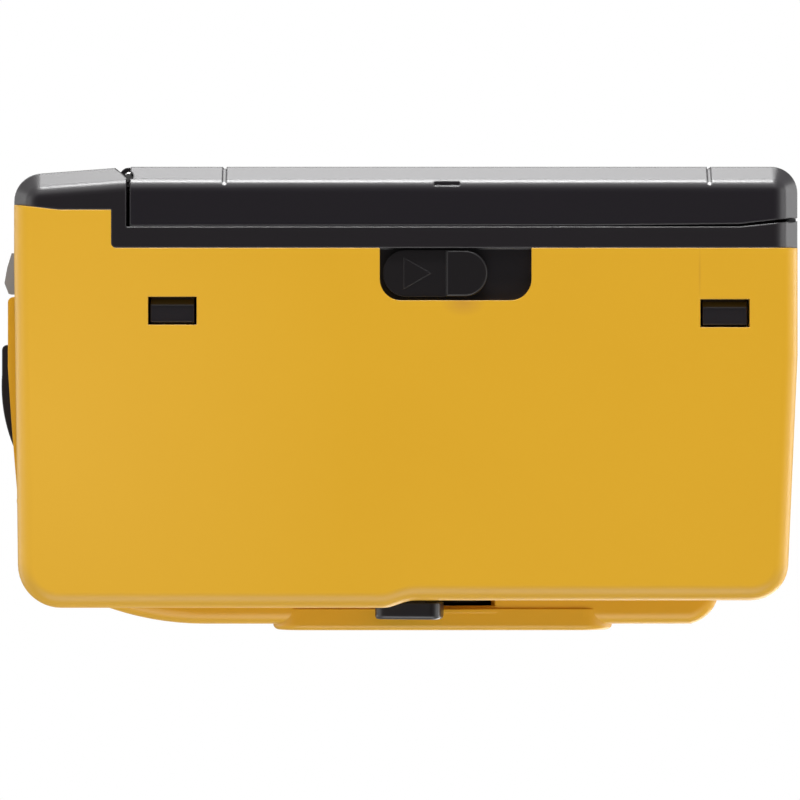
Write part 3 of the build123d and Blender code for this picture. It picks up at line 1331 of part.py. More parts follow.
with BuildPart() as battery_contacts:
    contact_y = (battery_box_y[0] + battery_box_wall + 0.4, battery_box_y[1] - battery_box_wall - 0.4)
    for low_z in (cell_low_z - 1.0, cell_low_z + cell_length + 1.6 - contact_thickness):
        box_between((cell_x - 4, cell_x + 4), contact_y, (low_z, low_z + contact_thickness))
    for _, middle_y in cell_spots:
        rod_z(cell_x, middle_y, 2.4, (cell_low_z - 1.0, cell_low_z - 0.2))
        rod_z(cell_x, middle_y, 2.4, (cell_low_z + cell_length + 0.3, cell_low_z + cell_length + 1.4))
finish(battery_contacts, "battery_contacts")

door_inner_x = half_width - 1.7
door_swell_y = 3.0
catch_y = (-11.4, 6.9)
catch_z = (29.0, 43.0)
catch_crest_x = half_width + 4.35
catch_crest_y = 2.0
catch_inner_x = battery_door_outer_x + 0.1
catch_travel = 3.0
catch_stem_y = (-2.0, 3.0)
catch_stem_z = (34.0, 38.0)
catch_plate_y = (-5.0, 6.0)
catch_plate_x = (half_width - 1.5, half_width - 0.7)
with BuildPart() as battery_door:
    with BuildSketch(Plane.XY.offset(battery_door_z[0])):
        with BuildLine():
            swell = ThreePointArc(
                (battery_door_outer_x, door_swell_y), (battery_door_outer_x - 0.75, door_swell_y - 11.0),
                (half_width + 0.1, battery_door_y[0]),
            )
            Polyline(
                swell @ 1, (door_inner_x, battery_door_y[0]), (door_inner_x, battery_door_y[1]),
                (battery_door_outer_x, battery_door_y[1]), swell @ 0,
            )
        make_face()
    extrude(amount=battery_door_z[1] - battery_door_z[0])
    fillet(battery_door.edges().filter_by(Axis.Z).sort_by(Axis.X)[-2:].sort_by(Axis.Y)[-1:], 0.9)
    rod_z(
        battery_axis_x, battery_axis_y, battery_knuckle + part_gap, battery_knuckle_z[1:3], mode=Mode.SUBTRACT
    )
    for low_z, high_z in (battery_knuckle_z[:2], battery_knuckle_z[2:]):
        rod_z(battery_axis_x, battery_axis_y, battery_knuckle, (low_z, high_z))
    rod_z(battery_axis_x, battery_axis_y, battery_pin_radius + fit_gap, (0, far), mode=Mode.SUBTRACT)
    box_between(
        (0, far), (catch_stem_y[0] - catch_travel - part_gap, catch_stem_y[1] + part_gap),
        (catch_stem_z[0] - part_gap, catch_stem_z[1] + part_gap), mode=Mode.SUBTRACT,
    )
    box_between(
        (0, catch_plate_x[1] + 0.2), (catch_plate_y[0] - catch_travel - part_gap, catch_plate_y[1] + part_gap),
        (catch_stem_z[0] - 1.5 - part_gap, catch_stem_z[1] + 1.5 + part_gap), mode=Mode.SUBTRACT,
    )
finish(battery_door, "battery_door")

with BuildPart() as battery_hinge_pin:
    pin_z = (battery_door_z[0] + 1.0, battery_door_z[1] - 1.0)
    rod_z(battery_axis_x, battery_axis_y, battery_pin_radius, pin_z)
finish(battery_hinge_pin, "battery_hinge_pin")

with BuildPart() as battery_catch:
    with BuildSketch(Plane.XY.offset(catch_z[0])) as catch_plan:
        with BuildLine():
            slope = ThreePointArc(
                (catch_inner_x, catch_y[0]), (catch_crest_x - 0.95, catch_crest_y - 9.2),
                (catch_crest_x, catch_crest_y),
            )
            Polyline(slope @ 1, (catch_crest_x, catch_y[1]), (catch_inner_x, catch_y[1]), slope @ 0)
        make_face()
        fillet(corner_of(catch_plan, catch_crest_x, catch_y[1]), 0.9)
    extrude(amount=catch_z[1] - catch_z[0])
    box_between((catch_plate_x[0] + 0.1, catch_inner_x + 0.2), catch_stem_y, catch_stem_z)
    box_between(catch_plate_x, catch_plate_y, (catch_stem_z[0] - 1.5, catch_stem_z[1] + 1.5))
finish(battery_catch, "battery_catch")

with BuildPart() as strap_lug:
    with BuildSketch(Plane.XY.offset(strap_z[0])):
        with BuildLine():
            Polyline(
                (strap_inner_x, strap_y[0]), (half_width + 3.8, strap_y[0]), (half_width + 4.5, strap_y[0] + 1.8),
                (half_width + 4.05, strap_y[0] + 4.3), (half_width + 3.3, strap_y[1]), (strap_inner_x, strap_y[1]),
                close=True,
            )
        make_face()
    extrude(amount=strap_z[1] - strap_z[0])
    # opening that the strap is threaded through, from front to back
    box_between(
        (0, strap_opening_x), (0, far), (strap_z[0] + strap_metal, strap_z[1] - strap_metal), mode=Mode.SUBTRACT
    )
finish(strap_lug, "strap_lug")

with BuildPart() as case_screws:
    for screw_y, screw_z in screw_seats:
        rod_x(screw_y, screw_z, screw_head_radius, (-half_width + 0.1, -half_width + 0.9))
        rod_x(screw_y, screw_z, screw_shank_radius, (-half_width + 0.9, -half_width + wall + 0.4))
        box_between(
            (-far, -half_width + 0.5), (screw_y - 1.4, screw_y + 1.4), (screw_z - 0.25, screw_z + 0.25),
            mode=Mode.SUBTRACT,
        )
        box_between(
            (-far, -half_width + 0.5), (screw_y - 0.25, screw_y + 0.25), (screw_z - 1.4, screw_z + 1.4),
            mode=Mode.SUBTRACT,
        )
finish(case_screws, "case_screws")
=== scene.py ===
"""Looks of a compact film camera: its mouldings, glass, metal and small trim around the fixed solids."""

import logging
import math
from dataclasses import dataclass
from enum import Enum
from typing import Iterable

import bmesh
import bpy
from mathutils import Matrix, Vector


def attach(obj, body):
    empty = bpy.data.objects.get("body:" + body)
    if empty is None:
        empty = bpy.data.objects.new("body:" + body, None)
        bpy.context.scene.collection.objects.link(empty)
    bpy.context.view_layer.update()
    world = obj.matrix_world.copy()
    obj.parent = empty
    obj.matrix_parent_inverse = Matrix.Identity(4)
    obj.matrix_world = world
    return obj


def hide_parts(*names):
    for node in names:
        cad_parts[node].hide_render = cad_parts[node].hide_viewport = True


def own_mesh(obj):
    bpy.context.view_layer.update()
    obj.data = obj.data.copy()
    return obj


LOG = logging.getLogger("camera")
MM = 0.001
BEVEL_SAMPLES = 6
MERGE_DISTANCE = 1e-7
Point = tuple[float, float, float]
Pair = tuple[float, float]

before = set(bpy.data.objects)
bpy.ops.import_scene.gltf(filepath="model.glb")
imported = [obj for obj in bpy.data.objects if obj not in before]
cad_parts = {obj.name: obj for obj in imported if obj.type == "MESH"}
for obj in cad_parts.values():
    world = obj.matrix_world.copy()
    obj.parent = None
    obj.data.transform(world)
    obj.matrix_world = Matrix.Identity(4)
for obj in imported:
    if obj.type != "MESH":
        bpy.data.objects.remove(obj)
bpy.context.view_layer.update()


class Facing(Enum):
    """Way that the axis of a turned piece points."""

    UP = Matrix.Identity(3)
    FRONT = Matrix.Rotation(math.radians(90), 3, "X")
    SIDE = Matrix.Rotation(math.radians(90), 3, "Y")


def linear(code: str) -> tuple[float, float, float, float]:
    """Turn an sRGB hex value into a linear colour.

    Args:
        code: Six hex digits, with or without a leading hash.

    Returns:
        Red, green, blue and an alpha of 1.
    """
    digits = code.lstrip("#")
    parts = [int(digits[i : i + 2], 16) / 255 for i in (0, 2, 4)]
    toned = [c / 12.92 if c <= 0.04045 else ((c + 0.055) / 1.055) ** 2.4 for c in parts]
    return (toned[0], toned[1], toned[2], 1.0)


def add_node(tree: bpy.types.NodeTree, kind: str, inputs: dict | None = None, **settings: object) -> bpy.types.Node:
    """Add a node with its settings, values and links.

    Args:
        tree: Node tree that gets the node.
        kind: Node type, such as "ShaderNodeMath".
        inputs: Socket name or number to a value, or to the output socket that feeds it.
        settings: Properties of the node itself.

    Returns:
        The new node.
    """
    node = tree.nodes.new(kind)
    for name, value in settings.items():
        setattr(node, name, value)
    for name, value in (inputs or {}).items():
        if isinstance(value, bpy.types.NodeSocket):
            tree.links.new(value, node.inputs[name])
        else:
            node.inputs[name].default_value = value
    return node


@dataclass(frozen=True)
class Smudge:
    """Soft oval patch of colour on a surface, used both for real marks such as a weld line and for painted shade and
    painted highlights: its middle and half sizes in mm, its colour and how strong it is.
    """

    middle: Point
    reach: Point
    colour: str
    strength: float

    def over(
        self, tree: bpy.types.NodeTree, place: bpy.types.NodeSocket, below: bpy.types.NodeSocket
    ) -> bpy.types.NodeSocket:
        """Lay the mark over a colour.

        Args:
            tree: Node tree of the material.
            place: Object coordinates.
            below: Colour under the mark.

        Returns:
            Colour with the mark on it.
        """
        scale = [1 / (r * MM) for r in self.reach]
        shift = [-m * MM * s for m, s in zip(self.middle, scale)]
        mapped = add_node(tree, "ShaderNodeMapping", {"Vector": place, "Location": shift, "Scale": scale})
        ball = add_node(tree, "ShaderNodeTexGradient", {"Vector": mapped.outputs[0]}, gradient_type="SPHERICAL")
        weight = add_node(tree, "ShaderNodeMath", {0: ball.outputs["Fac"], 1: self.strength}, operation="MULTIPLY")
        mixed = add_node(
            tree, "ShaderNodeMix", {"Factor": weight.outputs[0], "A": below, "B": linear(self.colour)},
            data_type="RGBA",
        )
        return mixed.outputs["Result"]


@dataclass(frozen=True)
class Finish:
    """A surface finish that makes its own material once."""

    name: str

    def material(self) -> bpy.types.Material:
        """Material of this finish, made on first use.

        Returns:
            The material.
        """
        found = bpy.data.materials.get(self.name)
        return found if found and found.get("made_here") else self.make()

    def start(self) -> tuple[bpy.types.NodeTree, bpy.types.Node, bpy.types.NodeSocket]:
        """Begin a material.

        Returns:
            The node tree, its Principled shader and the Object coordinates.
        """
        made = bpy.data.materials.new(self.name)
        made["made_here"] = True
        made.use_nodes = True
        tree = made.node_tree
        tree.nodes.clear()
        shader = add_node(tree, "ShaderNodeBsdfPrincipled")
        output = add_node(tree, "ShaderNodeOutputMaterial")
        tree.links.new(shader.outputs[0], output.inputs["Surface"])
        place = add_node(tree, "ShaderNodeTexCoord").outputs["Object"]
        return tree, shader, place

    def make(self) -> bpy.types.Material:
        """Build the material. Each kind of finish has its own way.

        Returns:
            The new material.
        """
        raise NotImplementedError


@dataclass(frozen=True)
class MouldedPlastic(Finish):
    """Injection-moulded plastic: an even colour with a faint drift, spark-eroded grain and softened edges."""

    colour: str = "808080"
    drift: str = "808080"
    roughness: float = 0.4
    specular: float = 0.5
    grain_mm: float = 0.35
    grain_height_mm: float = 0.01
    edge_mm: float = 0.25
    cloud_mm: float = 30.0
    ior: float = 1.5
    marks: tuple[Smudge, ...] = ()

    def make(self) -> bpy.types.Material:
        """Build the plastic.

        Returns:
            The new material.
        """
        tree, shader, place = self.start()
        clouds = add_node(
            tree, "ShaderNodeTexNoise", {"Vector": place, "Scale": 1 / (self.cloud_mm * MM), "Detail": 2.0}
        )
        colour = add_node(
            tree, "ShaderNodeMix",
            {"Factor": clouds.outputs["Fac"], "A": linear(self.colour), "B": linear(self.drift)}, data_type="RGBA",
        ).outputs["Result"]
        for mark in self.marks:
            colour = mark.over(tree, place, colour)
        edge = add_node(tree, "ShaderNodeBevel", {"Radius": self.edge_mm * MM}, samples=BEVEL_SAMPLES)
        grain = add_node(
            tree, "ShaderNodeTexNoise", {"Vector": place, "Scale": 1 / (self.grain_mm * MM), "Detail": 3.0}
        )
        bump = add_node(
            tree, "ShaderNodeBump",
            {"Height": grain.outputs["Fac"], "Distance": self.grain_height_mm * MM, "Strength": 1.0,
             "Normal": edge.outputs[0]},
        )
        tree.links.new(colour, shader.inputs["Base Color"])
        tree.links.new(bump.outputs[0], shader.inputs["Normal"])
        shader.inputs["Roughness"].default_value = self.roughness
        shader.inputs["Specular IOR Level"].default_value = self.specular
        shader.inputs["IOR"].default_value = self.ior
        return bpy.data.materials[self.name]


@dataclass(frozen=True)
class RolledMetal(Finish):
    """Sheet or turned metal: a bright metal with fine drawn lines along one axis."""

    colour: str = "B5B5B5"
    roughness: float = 0.3
    line_mm: float = 0.15
    line_stretch: Point = (1.0, 30.0, 1.0)
    line_height_mm: float = 0.004

    def make(self) -> bpy.types.Material:
        """Build the metal.

        Returns:
            The new material.
        """
        tree, shader, place = self.start()
        scale = [1 / (self.line_mm * MM * s) for s in self.line_stretch]
        mapped = add_node(tree, "ShaderNodeMapping", {"Vector": place, "Scale": scale})
        lines = add_node(tree, "ShaderNodeTexNoise", {"Vector": mapped.outputs[0], "Scale": 1.0, "Detail": 2.0})
        bump = add_node(
            tree, "ShaderNodeBump",
            {"Height": lines.outputs["Fac"], "Distance": self.line_height_mm * MM, "Strength": 1.0},
        )
        tree.links.new(bump.outputs[0], shader.inputs["Normal"])
        shader.inputs["Base Color"].default_value = linear(self.colour)
        shader.inputs["Metallic"].default_value = 1.0
        shader.inputs["Roughness"].default_value = self.roughness
        return bpy.data.materials[self.name]


@dataclass(frozen=True)
class ClearMoulding(Finish):
    """Clear or tinted glass or plastic that light passes through, with a faint coloured coating."""

    tint: str = "F4F6F6"
    coating: str = "FFFFFF"
    roughness: float = 0.02
    ior: float = 1.49
    ripple_mm: float = 0.0
    ripple_height_mm: float = 0.0
    bands_per_unit: float = 20.0

    def make(self) -> bpy.types.Material:
        """Build the clear material.

        Returns:
            The new material.
        """
        tree, shader, place = self.start()
        if self.ripple_mm > 0:
            waves = add_node(
                tree, "ShaderNodeTexWave",
                {"Vector": place, "Scale": 1 / (self.bands_per_unit * self.ripple_mm * MM), "Distortion": 0.0},
                bands_direction="Z",
            )
            bump = add_node(
                tree, "ShaderNodeBump", {"Height": waves.outputs["Fac"], "Distance": self.ripple_height_mm * MM}
            )
            tree.links.new(bump.outputs[0], shader.inputs["Normal"])
        shader.inputs["Base Color"].default_value = linear(self.tint)
        shader.inputs["Roughness"].default_value = self.roughness
        shader.inputs["IOR"].default_value = self.ior
        shader.inputs["Transmission Weight"].default_value = 1.0
        shader.inputs["Specular Tint"].default_value = linear(self.coating)
        return bpy.data.materials[self.name]


@dataclass(frozen=True)
class Laminate(Finish):
    """Circuit board: woven laminate under solder resist, with the copper runs showing as paler lanes."""

    resist: str = "1F4A2C"
    lane: str = "34693F"
    lane_mm: float = 2.2
    lane_share: float = 0.06
    lane_blur: float = 0.1
    roughness: float = 0.35

    def make(self) -> bpy.types.Material:
        """Build the board's surface.

        Returns:
            The new material.
        """
        tree, shader, place = self.start()
        turned = add_node(tree, "ShaderNodeMapping", {"Vector": place, "Rotation": (math.radians(90), 0, 0)})
        lanes = add_node(
            tree, "ShaderNodeTexBrick",
            {"Vector": turned.outputs[0], "Color1": linear(self.resist), "Color2": linear(self.resist),
             "Mortar": linear(self.lane), "Scale": 1 / (self.lane_mm * MM), "Mortar Size": self.lane_share,
             "Mortar Smooth": self.lane_blur},
        )
        tree.links.new(lanes.outputs["Color"], shader.inputs["Base Color"])
        shader.inputs["Roughness"].default_value = self.roughness
        return bpy.data.materials[self.name]


@dataclass(frozen=True)
class SoftFoam(Finish):
    """Open-cell foam or soft rubber: matt, with small pores."""

    colour: str = "1A1A1A"
    pore_mm: float = 0.5
    depth_mm: float = 0.08
    roughness: float = 0.95

    def make(self) -> bpy.types.Material:
        """Build the soft surface.

        Returns:
            The new material.
        """
        tree, shader, place = self.start()
        pores = add_node(tree, "ShaderNodeTexVoronoi", {"Vector": place, "Scale": 1 / (self.pore_mm * MM)})
        bump = add_node(
            tree, "ShaderNodeBump",
            {"Height": pores.outputs["Distance"], "Distance": self.depth_mm * MM, "Strength": 1.0},
        )
        tree.links.new(bump.outputs[0], shader.inputs["Normal"])
        shader.inputs["Base Color"].default_value = linear(self.colour)
        shader.inputs["Roughness"].default_value = self.roughness
        return bpy.data.materials[self.name]


@dataclass(frozen=True)
class SleevedCan(Finish):
    """Shrink-sleeved can of a cell or capacitor: a plain satin sleeve with one paler band near its top."""

    sleeve: str = "3A3F47"
    band: str = "C9CCD0"
    band_mm: Pair = (44.0, 57.0)
    roughness: float = 0.3
    metallic: float = 0.4

    def make(self) -> bpy.types.Material:
        """Build the sleeve.

        Returns:
            The new material.
        """
        tree, shader, place = self.start()
        height = add_node(tree, "ShaderNodeSeparateXYZ", {0: place}).outputs["Z"]
        above = add_node(tree, "ShaderNodeMath", {0: height, 1: self.band_mm[0] * MM}, operation="GREATER_THAN")
        below = add_node(tree, "ShaderNodeMath", {0: height, 1: self.band_mm[1] * MM}, operation="LESS_THAN")
        inside = add_node(tree, "ShaderNodeMath", {0: above.outputs[0], 1: below.outputs[0]}, operation="MULTIPLY")
        colour = add_node(
            tree, "ShaderNodeMix",
            {"Factor": inside.outputs[0], "A": linear(self.sleeve), "B": linear(self.band)}, data_type="RGBA",
        )
        tree.links.new(colour.outputs["Result"], shader.inputs["Base Color"])
        shader.inputs["Roughness"].default_value = self.roughness
        shader.inputs["Metallic"].default_value = self.metallic
        return bpy.data.materials[self.name]


# Semi-gloss ABS in a warm yellow. The polished mould gives a soft sheen. A faint brown painted shade lies along the
# latch recess, a darker weld line runs near the grip side, and a broad painted highlight pales the +X half of the
# base and its lower sides.
YELLOW = MouldedPlastic(
    "yellow_abs_moulded", colour="D9A51F", drift="D6A11C", roughness=0.42, specular=0.5, grain_mm=0.6,
    grain_height_mm=0.004, edge_mm=0.22,
    marks=(
        # Painted shade: a soft brown patch along the edge of the latch recess.
        Smudge((-9.2, 13.3, 0.0), (3.6, 2.2, 2.0), "B98235", 0.55),
        Smudge((-47.0, 18.0, 0.0), (0.25, 4.8, 0.8), "C08A24", 0.5),
        # Painted highlight: a broad paler patch over the +X half of the base and the lower sides there.
        Smudge((58.0, -6.0, 0.0), (50.0, 60.0, 8.0), "E3AF38", 0.6),
    ),
)
# Black ABS with a satin spark-eroded mould surface, which shows bright lamps as broad soft bands.
BLACK = MouldedPlastic(
    "black_abs_moulded", colour="1A171A", drift="1D1A1D", roughness=0.29, specular=0.5, grain_mm=0.5,
    grain_height_mm=0.0015, edge_mm=0.35,
)
# The door's black ABS, with painted highlights: small bright spots at the low ends of its two panel lines.
BLACK_DOOR = MouldedPlastic(
    "black_abs_door", colour="18151A", drift="1B181C", roughness=0.29, specular=0.5, grain_mm=0.5,
    grain_height_mm=0.0015, edge_mm=0.35,
    marks=(
        # Painted highlights at the low ends of the two panel lines.
        Smudge((29.1, 32.45, 0.3), (0.42, 0.42, 0.7), "F2F0F2", 0.9),
        Smudge((-48.6, 32.45, 0.3), (0.42, 0.42, 0.7), "F2F0F2", 0.9),
    ),
)
# Black ABS of the latch slider, worn matt by thumbs: darker than the case and without bright bands.
BLACK_SLIDER = MouldedPlastic(
    "black_abs_slider", colour="0F0C0E", drift="110E10", roughness=0.36, specular=0.35, grain_mm=0.4,
    grain_height_mm=0.004, edge_mm=0.2,
)
# Polished black acrylic-like moulding round the lens and the finder, which mirrors the room.
GLOSS_BLACK = MouldedPlastic(
    "black_polished_moulding", colour="0E0E10", drift="101012", roughness=0.12, specular=0.5, grain_mm=2.0,
    grain_height_mm=0.001, edge_mm=0.2,
)
# Glass-filled nylon of the inner frame: dark grey and matt, so that stray light is swallowed.
MATT_NYLON = MouldedPlastic(
    "black_nylon_matt", colour="18181A", drift="1D1D1F", roughness=0.7, specular=0.35, grain_mm=0.5,
    grain_height_mm=0.03, edge_mm=0.15,
)
# Natural acetal of the gears: milky and slightly waxy.
ACETAL = MouldedPlastic(
    "natural_acetal_moulded", colour="DAD5C6", drift="D2CCBB", roughness=0.38, grain_mm=0.8, grain_height_mm=0.003,
    edge_mm=0.1,
)
# White styrene of the counting dial: an even white that doesn't shine under its window.
WHITE_DIAL = MouldedPlastic("white_styrene_dial", colour="ECEAE4", drift="E6E4DD", roughness=0.45, edge_mm=0.05)
# Pad-printed ink of the dial's numbers: a flat black.
DIAL_INK = MouldedPlastic("black_dial_ink", colour="151515", drift="181818", roughness=0.6, edge_mm=0.01)
# Red acrylic of the self-timer lamp: a deep colour under a sharp small highlight.
RED_LAMP = MouldedPlastic(
    "red_acrylic_lamp", colour="8E1712", drift="9A1C15", roughness=0.12, grain_mm=1.0, grain_height_mm=0.001
)
# Bright rolled steel: drawn lines along its length pull the highlights into streaks.
STEEL = RolledMetal("rolled_steel_bright", colour="B9B9B8", roughness=0.3)
# Nickel-plated steel of screws and trim rings: smooth and slightly warm, so that edges flash.
NICKEL = RolledMetal(
    "nickel_plated_steel", colour="A9AAAD", roughness=0.24, line_stretch=(1.0, 1.0, 1.0), line_height_mm=0.001
)
# Tumbled steel of the strap lug: light grey, with a broad dull sheen.
TUMBLED = RolledMetal("tumbled_steel_lug", colour="98999D", roughness=0.5)
# Chemically blackened steel sheet of blades and pressure plate: dark, with a low metallic sheen.
BLACKENED = RolledMetal("blackened_steel_sheet", colour="2B2B2D", roughness=0.42)
# Phosphor bronze of the battery contacts: a warm yellow-brown gleam in the dark bay.
BRONZE = RolledMetal("phosphor_bronze_strip", colour="C79F5A", roughness=0.28)
# Polished aluminium of the flash reflector: nearly a mirror, the brightest spot of the front.
BRIGHT_ALUMINIUM = RolledMetal("polished_aluminium_sheet", colour="E3E3E4", roughness=0.1, line_height_mm=0.001)
# Optical glass whose anti-reflection coating turns its highlights violet.
LENS_GLASS = ClearMoulding("coated_optical_glass", tint="EEF2F4", coating="C9B2FF", ior=1.6, roughness=0.0)
# Clear acrylic of the finder windows: the dark tunnel shows behind a clean reflection.
ACRYLIC = ClearMoulding("clear_acrylic_window", tint="E9EDEE", ior=1.49)
# Clear polycarbonate of the flash window: fine ribs break the reflector into bright lines.
RIBBED_CLEAR = ClearMoulding(
    "ribbed_polycarbonate", tint="F1F2F0", ior=1.58, roughness=0.12, ripple_mm=0.5, ripple_height_mm=0.12
)
# Smoked acrylic of the film window: grey, with the foam seal just visible behind it.
SMOKED = ClearMoulding("smoked_acrylic_window", tint="4B4B50", ior=1.49, roughness=0.04)
# Green solder resist over woven laminate: satin, with paler lanes where copper lies below.
BOARD = Laminate("green_laminate_board")
# Moulded epoxy of the chips: matt and slightly sandy.
EPOXY = MouldedPlastic(
    "black_epoxy_package", colour="1C1C1E", drift="222224", roughness=0.6, grain_mm=0.3, grain_height_mm=0.01,
    edge_mm=0.08,
)
# Open-cell foam of the light seals: a soft black without any highlight.
FOAM = SoftFoam("black_seal_foam", colour="161616")
# Soft moulded rubber of the eyepiece surround: dull grey-black at its edges.
RUBBER = SoftFoam("black_rubber_moulded", colour="1B1B1C", pore_mm=0.4, depth_mm=0.01, roughness=0.65)
# Shrink-sleeved cells and flash capacitor: satin grey with a silver band.
CAN = SleevedCan("sleeved_cell_can")


def spread_matrix(low: Point, high: Point) -> Matrix:
    """Find the transform that turns a unit cube into the box between two corners.

    Args:
        low: Lowest corner in mm.
        high: Highest corner in mm.

    Returns:
        The transform.
    """
    centre = Vector([(a + b) / 2 * MM for a, b in zip(low, high)])
    size = [(b - a) * MM for a, b in zip(low, high)]
    return Matrix.Translation(centre) @ Matrix.Diagonal((*size, 1.0))


def add_block(mesh: bmesh.types.BMesh, low: Point, high: Point, round_mm: float = 0.0, steps: int = 2) -> None:
    """Add a block with softened edges to a mesh.

    Args:
        mesh: Mesh that gets the block.
        low: Lowest corner in mm.
        high: Highest corner in mm.
        round_mm: Radius of its edges.
        steps: Segments of each rounded edge.
    """
    made = bmesh.ops.create_cube(mesh, size=1.0, matrix=spread_matrix(low, high))
    if round_mm > 0:
        edges = {edge for vert in made["verts"] for edge in vert.link_edges}
        bmesh.ops.bevel(
            mesh, geom=list(edges), offset=round_mm * MM, segments=steps, affect="EDGES", profile=0.5, material=-1,
            clamp_overlap=True,
        )


def add_turned(
    mesh: bmesh.types.BMesh, profile: Iterable[Pair], middle: Point, facing: Facing = Facing.UP, steps: int = 64
) -> None:
    """Add a ring or disc, spun from a closed profile, to a mesh.

    Args:
        mesh: Mesh that gets the piece.
        profile: Radius and height of each corner in mm. The height runs along the axis.
        middle: Point on the axis at height 0, in mm.
        facing: Way that the axis points.
        steps: Segments round the axis.
    """
    verts = [mesh.verts.new((r * MM, 0.0, h * MM)) for r, h in profile]
    edges = [mesh.edges.new((a, b)) for a, b in zip(verts, verts[1:] + verts[:1])]
    bmesh.ops.spin(
        mesh, geom=verts + edges, cent=(0, 0, 0), axis=(0, 0, 1), dvec=(0, 0, 0), angle=2 * math.pi, steps=steps,
        use_merge=True, use_normal_flip=False, use_duplicate=False,
    )
    loose = [vert for vert in mesh.verts if not vert.tag]
    bmesh.ops.remove_doubles(mesh, verts=loose, dist=MERGE_DISTANCE)
    fresh = [vert for vert in mesh.verts if not vert.tag]
    turn = Matrix.Translation(Vector(middle) * MM) @ facing.value.to_4x4()
    bmesh.ops.transform(mesh, matrix=turn, verts=fresh)
    for vert in fresh:
        vert.tag = True


@dataclass
class SubAssembly:
    """A group of pieces that is dressed and gets its small trim."""

    title: str = "sub-assembly"

    def dress(self, finish: Finish, *nodes: str) -> None:
        """Give the solids of these names a finish, and report each.

        Args:
            finish: Finish that they get.
            nodes: Names of the solids.
        """
        for name in nodes:
            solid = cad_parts[name]
            solid.data.materials.clear()
            solid.data.materials.append(finish.material())
            LOG.info("%s: dressed %s in %s", self.title, name, finish.name)

    def add_piece(
        self, name: str, mesh: bmesh.types.BMesh, finish: Finish, body: str, slot: str, crease: float = 35.0
    ) -> bpy.types.Object:
        """Turn a mesh into a finished piece that rides on a body.

        Args:
            name: Name of the piece.
            mesh: Its shape, which is freed.
            finish: Finish that it gets.
            body: Body that carries it.
            slot: The record's material slot; not used.
            crease: Angle in degrees above which an edge stays sharp.

        Returns:
            The new object.
        """
        bmesh.ops.recalc_face_normals(mesh, faces=mesh.faces)
        data = bpy.data.meshes.new(name)
        mesh.to_mesh(data)
        mesh.free()
        data.shade_smooth()
        data.set_sharp_from_angle(angle=math.radians(crease))
        data.materials.append(finish.material())
        piece = bpy.data.objects.new(name, data)
        bpy.context.scene.collection.objects.link(piece)
        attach(piece, body)
        LOG.info("%s: made %s with %d faces", self.title, name, len(data.polygons))
        return piece

    def build(self) -> None:
        """Build and dress the group."""
        raise NotImplementedError


@dataclass
class OuterCase(SubAssembly):
    """Yellow shell and top cover, black rear frame, and the trim that is fixed to them.

    The shoulders of the rings are pairs: how far a corner stands in from the wall in mm, and its share of the height.
    """

    title: str = "outer case"
    roof_z: float = 78.0
    shutter: Pair = (-46.0, -8.0)
    shutter_ring: Pair = (6.45, 7.5)
    counter: Pair = (-26.0, 2.6)
    counter_ring: Pair = (2.6, 3.3)
    ring_height: float = 0.32
    ring_root: float = 0.1
    outer_shoulder: tuple[Pair, ...] = ((0.0, 0.5), (0.15, 0.9), (0.3, 1.0))
    inner_shoulder: tuple[Pair, ...] = ((0.2, 1.0), (0.0, 0.6))
    ring_steps: int = 96

    def build(self) -> None:
        """Dress the mouldings and add the rings round button and counter."""
        self.dress(YELLOW, "front_shell", "top_cover")
        self.dress(BLACK, "rear_frame")
        self.dress(NICKEL, "case_screws")
        self.dress(TUMBLED, "strap_lug")
        self.dress(RUBBER, "eyepiece_frame")
        self.dress(ACRYLIC, "eyepiece_glass", "counter_window")
        for name, spot, ring, finish, slot in (
            ("shutter_ring", self.shutter, self.shutter_ring, NICKEL, "plated_steel"),
            ("counter_ring", self.counter, self.counter_ring, GLOSS_BLACK, "black_gloss_plastic"),
        ):
            mesh = bmesh.new()
            self.raised_ring(mesh, spot, ring)
            self.add_piece(name, mesh, finish, "body", slot)

    def raised_ring(self, mesh: bmesh.types.BMesh, spot: Pair, ring: Pair) -> None:
        """Add a low ring with rounded shoulders on the roof.

        Args:
            mesh: Mesh that gets the ring.
            spot: X and Y of its middle in mm.
            ring: Inner and outer radius in mm.
        """
        inner, outer = ring
        top = self.ring_height
        profile = (
            (inner, -self.ring_root), (outer, -self.ring_root),
            *((outer - inset, top * share) for inset, share in self.outer_shoulder),
            *((inner + inset, top * share) for inset, share in self.inner_shoulder),
        )
        add_turned(mesh, profile, (spot[0], spot[1], self.roof_z), steps=self.ring_steps)


